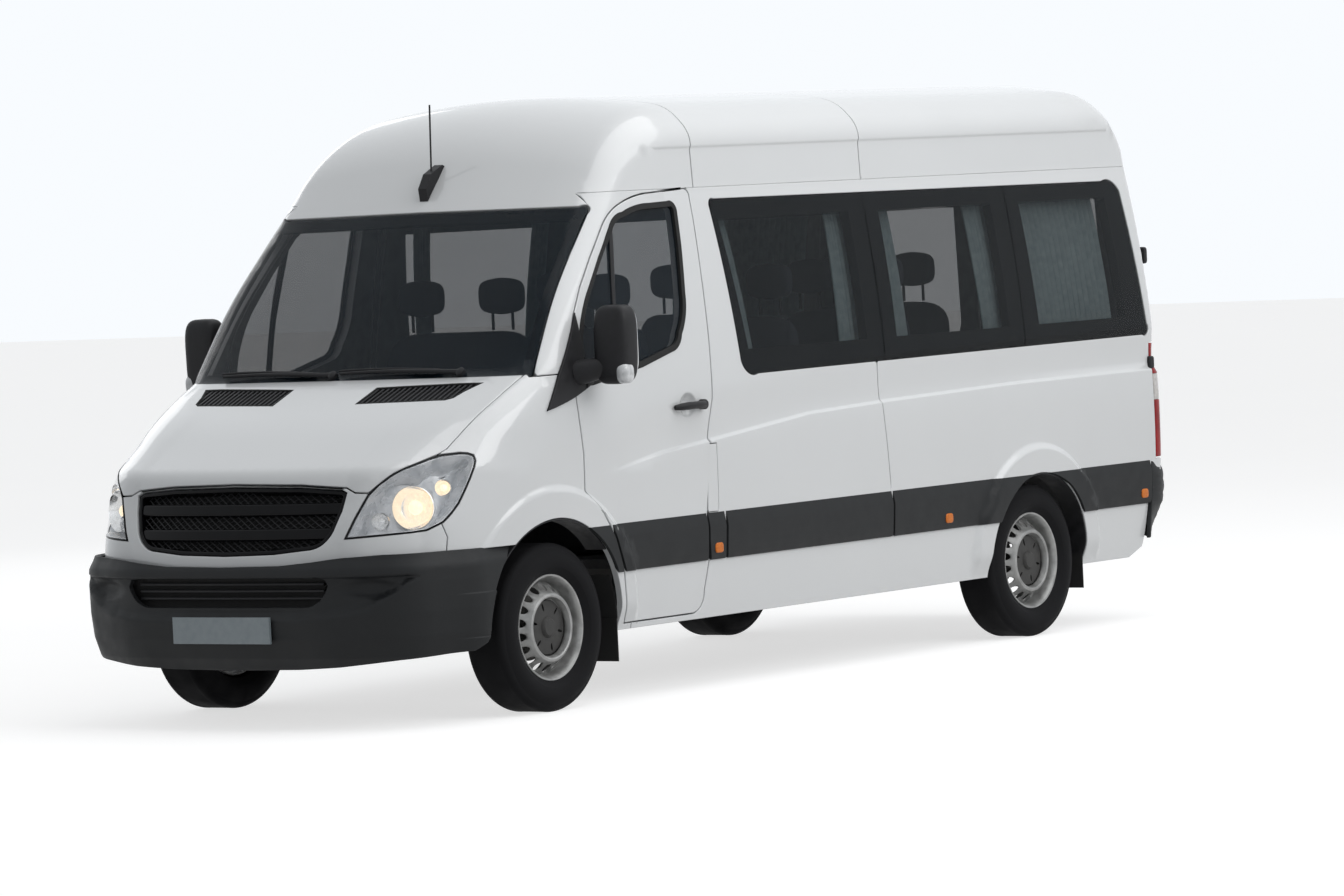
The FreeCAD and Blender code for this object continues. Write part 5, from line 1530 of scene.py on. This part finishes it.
def puffed(points, faces, cap, voxel=0.014):
    """Swells a closed form as cloth under pressure, with no point moved further than a cap."""
    mesh = bpy.data.meshes.new("pad_start")
    mesh.from_pydata([tuple(p) for p in points], [], np.asarray(faces).tolist())
    obj = bpy.data.objects.new("pad_start", mesh)
    scene = bpy.context.scene
    scene.collection.objects.link(obj)
    remesh = obj.modifiers.new("remesh", "REMESH")
    remesh.mode = "VOXEL"
    remesh.voxel_size = voxel
    graph = bpy.context.evaluated_depsgraph_get()
    even = bpy.data.meshes.new_from_object(obj.evaluated_get(graph))
    obj.modifiers.clear()
    obj.data = even
    start = np.array([v.co for v in even.vertices])
    moved = start
    cloth = obj.modifiers.new("cloth", "CLOTH")
    cloth.settings.use_pressure = True
    cloth.settings.uniform_pressure_force = 4.0
    cloth.settings.effector_weights.gravity = 0.0
    cloth.settings.quality = 4
    for frame_number in range(1, 21):
        scene.frame_set(frame_number)
    graph = bpy.context.evaluated_depsgraph_get()
    moved = np.array([v.co for v in obj.evaluated_get(graph).to_mesh().vertices])
    scene.frame_set(1)
    shift = moved - start
    size = np.linalg.norm(shift, axis=1, keepdims=True)
    result = start + shift * np.minimum(1.0, cap / np.maximum(size, 1e-9))
    triangles = [(poly.vertices[0], poly.vertices[k], poly.vertices[k + 1])
                 for poly in even.polygons for k in range(1, len(poly.vertices) - 1)]
    bpy.data.objects.remove(obj)
    return result, np.array(triangles)


def seamed(points, across, seams, depth, facing):
    """Presses sewn channels: a narrow bell curve in the distance from each seam, on the side that faces a way."""
    middle = points.mean(0)
    front = step_up(0.0, 0.02, (points - middle) @ facing)
    press = sum(np.exp(-((points[:, across] - s) / 0.009) ** 2) for s in seams)
    return points - np.clip(press, 0, 1)[:, None] * front[:, None] * depth * np.array(facing)


# Each seat's name, place (x, y), width and number of places
SEATS = [("driver_seat", 1.130, 0.470, 0.520, 1), ("mate_seat", 1.130, -0.330, 0.900, 2),
         ("first_bench", 0.120, 0.420, 0.800, 2), ("first_single", 0.120, -0.560, 0.440, 1),
         ("second_bench", -0.760, 0.420, 0.800, 2), ("second_single", -0.760, -0.560, 0.440, 1),
         ("rear_bench", -1.640, 0.0, 0.900, 2)]
SEAT_FLOOR = 0.600
REST_X = 0.305
BACK_LEAN = -0.17
pads = {}


def pad_shapes(width, count):
    """Cushion, back and headrest round the seat's own origin on the floor, made once for each width."""
    if (width, count) in pads:
        return pads[(width, count)]
    seams = [(k + 0.5) * width / count - width / 2 + s for k in range(count) for s in (-0.11, 0.11)]
    seams += [k * width / count - width / 2 for k in range(1, count)]
    cushion = rounded_box((0, 0, 0), (0.232, width / 2 - 0.014, 0.058), 5.0, 56, 18)
    points, faces = puffed(cushion[0], cushion[1], 0.022)
    points = seamed(points, 1, seams, 0.010, np.array((0.0, 0.0, 1.0))) + (-0.005, 0, 0.347)
    back = rounded_box((0, 0, 0), (0.040, width / 2 - 0.024, 0.300), 5.0, 56, 18)
    back_points, back_faces = puffed(back[0], back[1], 0.018)
    back_points = seamed(back_points, 1, seams, 0.008, np.array((1.0, 0.0, 0.0)))
    back_points[:, 0] += back_points[:, 2] * BACK_LEAN
    back_points = back_points + (-0.252, 0, 0.680)
    rest = rounded_box((0, 0, 0), (0.040, 0.118, 0.076), 3.6, 44, 18)
    rest_points, rest_faces = puffed(rest[0], rest[1], 0.010, 0.008)
    pads[(width, count)] = ((points, faces), (back_points, back_faces), (rest_points, rest_faces))
    return pads[(width, count)]


def pad_piece(name, shape, place):
    """One pad, moved to its place."""
    points, faces = shape
    return piece(name, "body", [], [(points + place, faces, None, 0)], [SEAT_CLOTH], 180.0)


bases = []
for name, x, y, width, count in SEATS:
    shapes = pad_shapes(width, count)
    place = np.array((x, y, SEAT_FLOOR))
    for kind, shape in (("cushion", shapes[0]), ("back", shapes[1])):
        pad_piece(name + "_" + kind, shape, place)
    spacing = 0.450 if name == "mate_seat" else 0.400
    for number in range(count):
        at = place + (-REST_X, (number - (count - 1) / 2) * spacing, 1.115)
        pad_piece("%s_headrest_%d" % (name, number + 1), shapes[2], at)
        for side in (-0.055, 0.055):
            post = np.array([(0, side, -0.15), (0, side, -0.02)]) + at
            bases.append(tube(post, 0.007, 10))
    bases.append(rounded_box(place + (-0.010, 0, 0.142), (0.190, width / 2 - 0.065, 0.141), 9.0, 48, 14))
piece("seat_bases", "body", ["front_seats", "passenger_seats"], bases, [TRIM_BLACK], 40.0)


# Curtains, gathered at the sides of the panes

CURTAIN_FOOT = 1.405
CURTAIN_HEAD = 2.075
CURTAIN_DEPTH = 0.086


def curtain(name, top, bottom, folds, side):
    """A sheet whose depth follows a row of folds across it: sine waves that deepen and drift downwards."""
    low, high = CURTAIN_FOOT, CURTAIN_HEAD
    across = np.linspace(0, 1, 16 * folds + 1)
    down = np.linspace(0, 1, 40)
    u, v = np.meshgrid(across, down)
    x = (top[0] + (top[1] - top[0]) * u) * (1 - v) + (bottom[0] + (bottom[1] - bottom[0]) * u) * v
    z = high + (low - high) * v
    phase = 2 * math.pi * folds * u + 0.5 * np.sin(3.1 * v + 2.0 * u) + 0.7 * u * u
    deep = 0.010 + 0.003 * np.sin(2 * math.pi * u * 1.3 + 1.0)
    wave = deep * (0.6 + 0.4 * v) * np.sin(phase)
    lean = 0.0035 * np.sin(phase * 2 + 1.0) * (0.4 + v)
    outer = SIDE.solve(side_line(np.stack([x.reshape(-1), z.reshape(-1)], 1)))
    wall = outer - normals(body, outer) * CURTAIN_DEPTH
    points = wall + np.stack([lean.reshape(-1), wave.reshape(-1), 0 * lean.reshape(-1)], 1)
    points = points * (1, side, 1)
    part = grid_part(points.reshape(u.shape + (3,)), turned=side < 0)
    obj = piece(name, "body", [], [part], [CURTAIN_CLOTH], 180.0)
    return obj


# Each curtain's x from and to at its head, x from and to at its foot, and number of folds
HANGINGS = [(0.420, 0.540, 0.345, 0.450, 5), (-0.470, -0.345, -0.470, -0.335, 5), (-0.850, -0.650, -0.860, -0.720, 6),
            (-1.630, -1.450, -1.640, -1.500, 6), (-2.560, -1.850, -2.585, -1.900, 16)]
for side, word in ((1, "left"), (-1, "right")):
    for number, (a, b, c, d, folds) in enumerate(HANGINGS):
        obj = curtain("curtain_%s_%d" % (word, number + 1), (a, b), (c, d), folds, side)
        if side == 1 and number == 0:
            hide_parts("curtains")


# Finishes of the solids that keep their own shape

KEPT = (
    (BLACK_PLASTIC, ("aerial",)),
    (TRIM_BLACK, ("bulkhead", "dashboard", "steering_wheel")),
    (CHASSIS, ("chassis_frame", "front_suspension", "rear_axle", "underbody")),
    (CAST_METAL, ("engine", "knuckle_left", "knuckle_right")),
    (FLOOR_COVER, ("floor",)),
    (RUBBER, ("mud_flaps",)),
    (PLATE, ("number_plates",)),
    (TYRE_RUBBER, ("tyre_front_left", "tyre_front_right", "tyre_rear_left", "tyre_rear_right")),
)
for look, names in KEPT:
    for name in names:
        for slot in bpy.data.objects[name].material_slots:
            slot.link = "OBJECT"
            slot.material = look


# Camera, light and floor

PHOTO_WIDTH = 1344.0
SENSOR = 36.0


def look_from(name, place, azimuth, elevation, roll, focal_px):
    """The camera, looking back along an azimuth and elevation in degrees, with its focal length in pixels."""
    camera = bpy.data.cameras.new(name)
    camera.sensor_width = SENSOR
    camera.lens = focal_px / PHOTO_WIDTH * SENSOR
    camera.clip_end = 200.0
    obj = bpy.data.objects.new(name, camera)
    az, el, r = (math.radians(a) for a in (azimuth, elevation, roll))
    back = Vector((math.cos(az) * math.cos(el), math.sin(az) * math.cos(el), math.sin(el)))
    right = (-back).cross(Vector((0, 0, 1))).normalized()
    up = right.cross(-back)
    c, s = math.cos(r), math.sin(r)
    tilted_right = right * c + up * s
    tilted_up = up * c - right * s
    obj.matrix_world = Matrix((
        (tilted_right.x, tilted_up.x, back.x, place[0]),
        (tilted_right.y, tilted_up.y, back.y, place[1]),
        (tilted_right.z, tilted_up.z, back.z, place[2]),
        (0, 0, 0, 1),
    ))
    bpy.context.scene.collection.objects.link(obj)
    bpy.context.scene.camera = obj


look_from("camera", (22.690, 16.895, 2.1525), 36.386, 2.3619, -2.7871, 6298.8)

scene = bpy.context.scene
scene.view_settings.view_transform = "Standard"


def area_light(name, place, target, size, power):
    """A rectangular light, turned towards a target."""
    light = bpy.data.lights.new(name, "AREA")
    light.shape = "RECTANGLE"
    light.size, light.size_y = size
    light.energy = power
    obj = bpy.data.objects.new(name, light)
    obj.location = place
    obj.rotation_euler = (Vector(target) - Vector(place)).to_track_quat("-Z", "Y").to_euler()
    scene.collection.objects.link(obj)


area_light("sky_light", (-1, 4, 9), (-1, 0, 0), (12, 10), 520)
area_light("front_light", (10, 3, 3.5), (0, 0, 1), (6, 4), 8)
area_light("side_light", (0, 11, 6.0), (0, 0, 1), (10, 4), 420)
area_light("far_light", (-4, -11, 5), (0, 0, 1), (10, 4), 120)

floor_mesh = bpy.data.meshes.new("ground")
floor_mesh.from_pydata([(-60, -60, 0), (60, -60, 0), (60, 60, 0), (-60, 60, 0)], [], [(0, 1, 2, 3)])
ground = bpy.data.objects.new("ground", floor_mesh)
scene.collection.objects.link(ground)
FLOOR_GLOW = 0.66
SKY_POWER = 0.36
PALE_FLOOR = finish("pale_floor", 0.45, 0.9, 0.4, 0.44, 0.46, emission=((1.0, 1.0, 1.0), 0.0))


def seen_rays(owner):
    """One for rays that show the background: straight, through glass or off metal."""
    rays = node(owner, "ShaderNodeLightPath")
    found = rays.outputs["Is Camera Ray"]
    for kind in ("Is Transmission Ray", "Is Glossy Ray"):
        larger = node(owner, "ShaderNodeMath", operation="MAXIMUM")
        owner.node_tree.links.new(found, larger.inputs[0])
        owner.node_tree.links.new(rays.outputs[kind], larger.inputs[1])
        found = larger.outputs[0]
    return found


glow = node(PALE_FLOOR, "ShaderNodeMath", operation="MULTIPLY")
glow.inputs[1].default_value = FLOOR_GLOW
PALE_FLOOR.node_tree.links.new(seen_rays(PALE_FLOOR), glow.inputs[0])
link(PALE_FLOOR, glow, 0, PALE_FLOOR.node_tree.nodes["Principled BSDF"], "Emission Strength")
floor_mesh.materials.append(PALE_FLOOR)

world = bpy.data.worlds.new("world")
scene.world = world
world.use_nodes = True
sky = world.node_tree.nodes["Background"]
power = node(world, "ShaderNodeMapRange", To_Min=SKY_POWER, To_Max=1.0)
world.node_tree.links.new(seen_rays(world), power.inputs["Value"])
link(world, power, "Result", sky, "Strength")
sky.inputs["Color"].default_value = (0.94, 0.97, 1.0, 1.0)
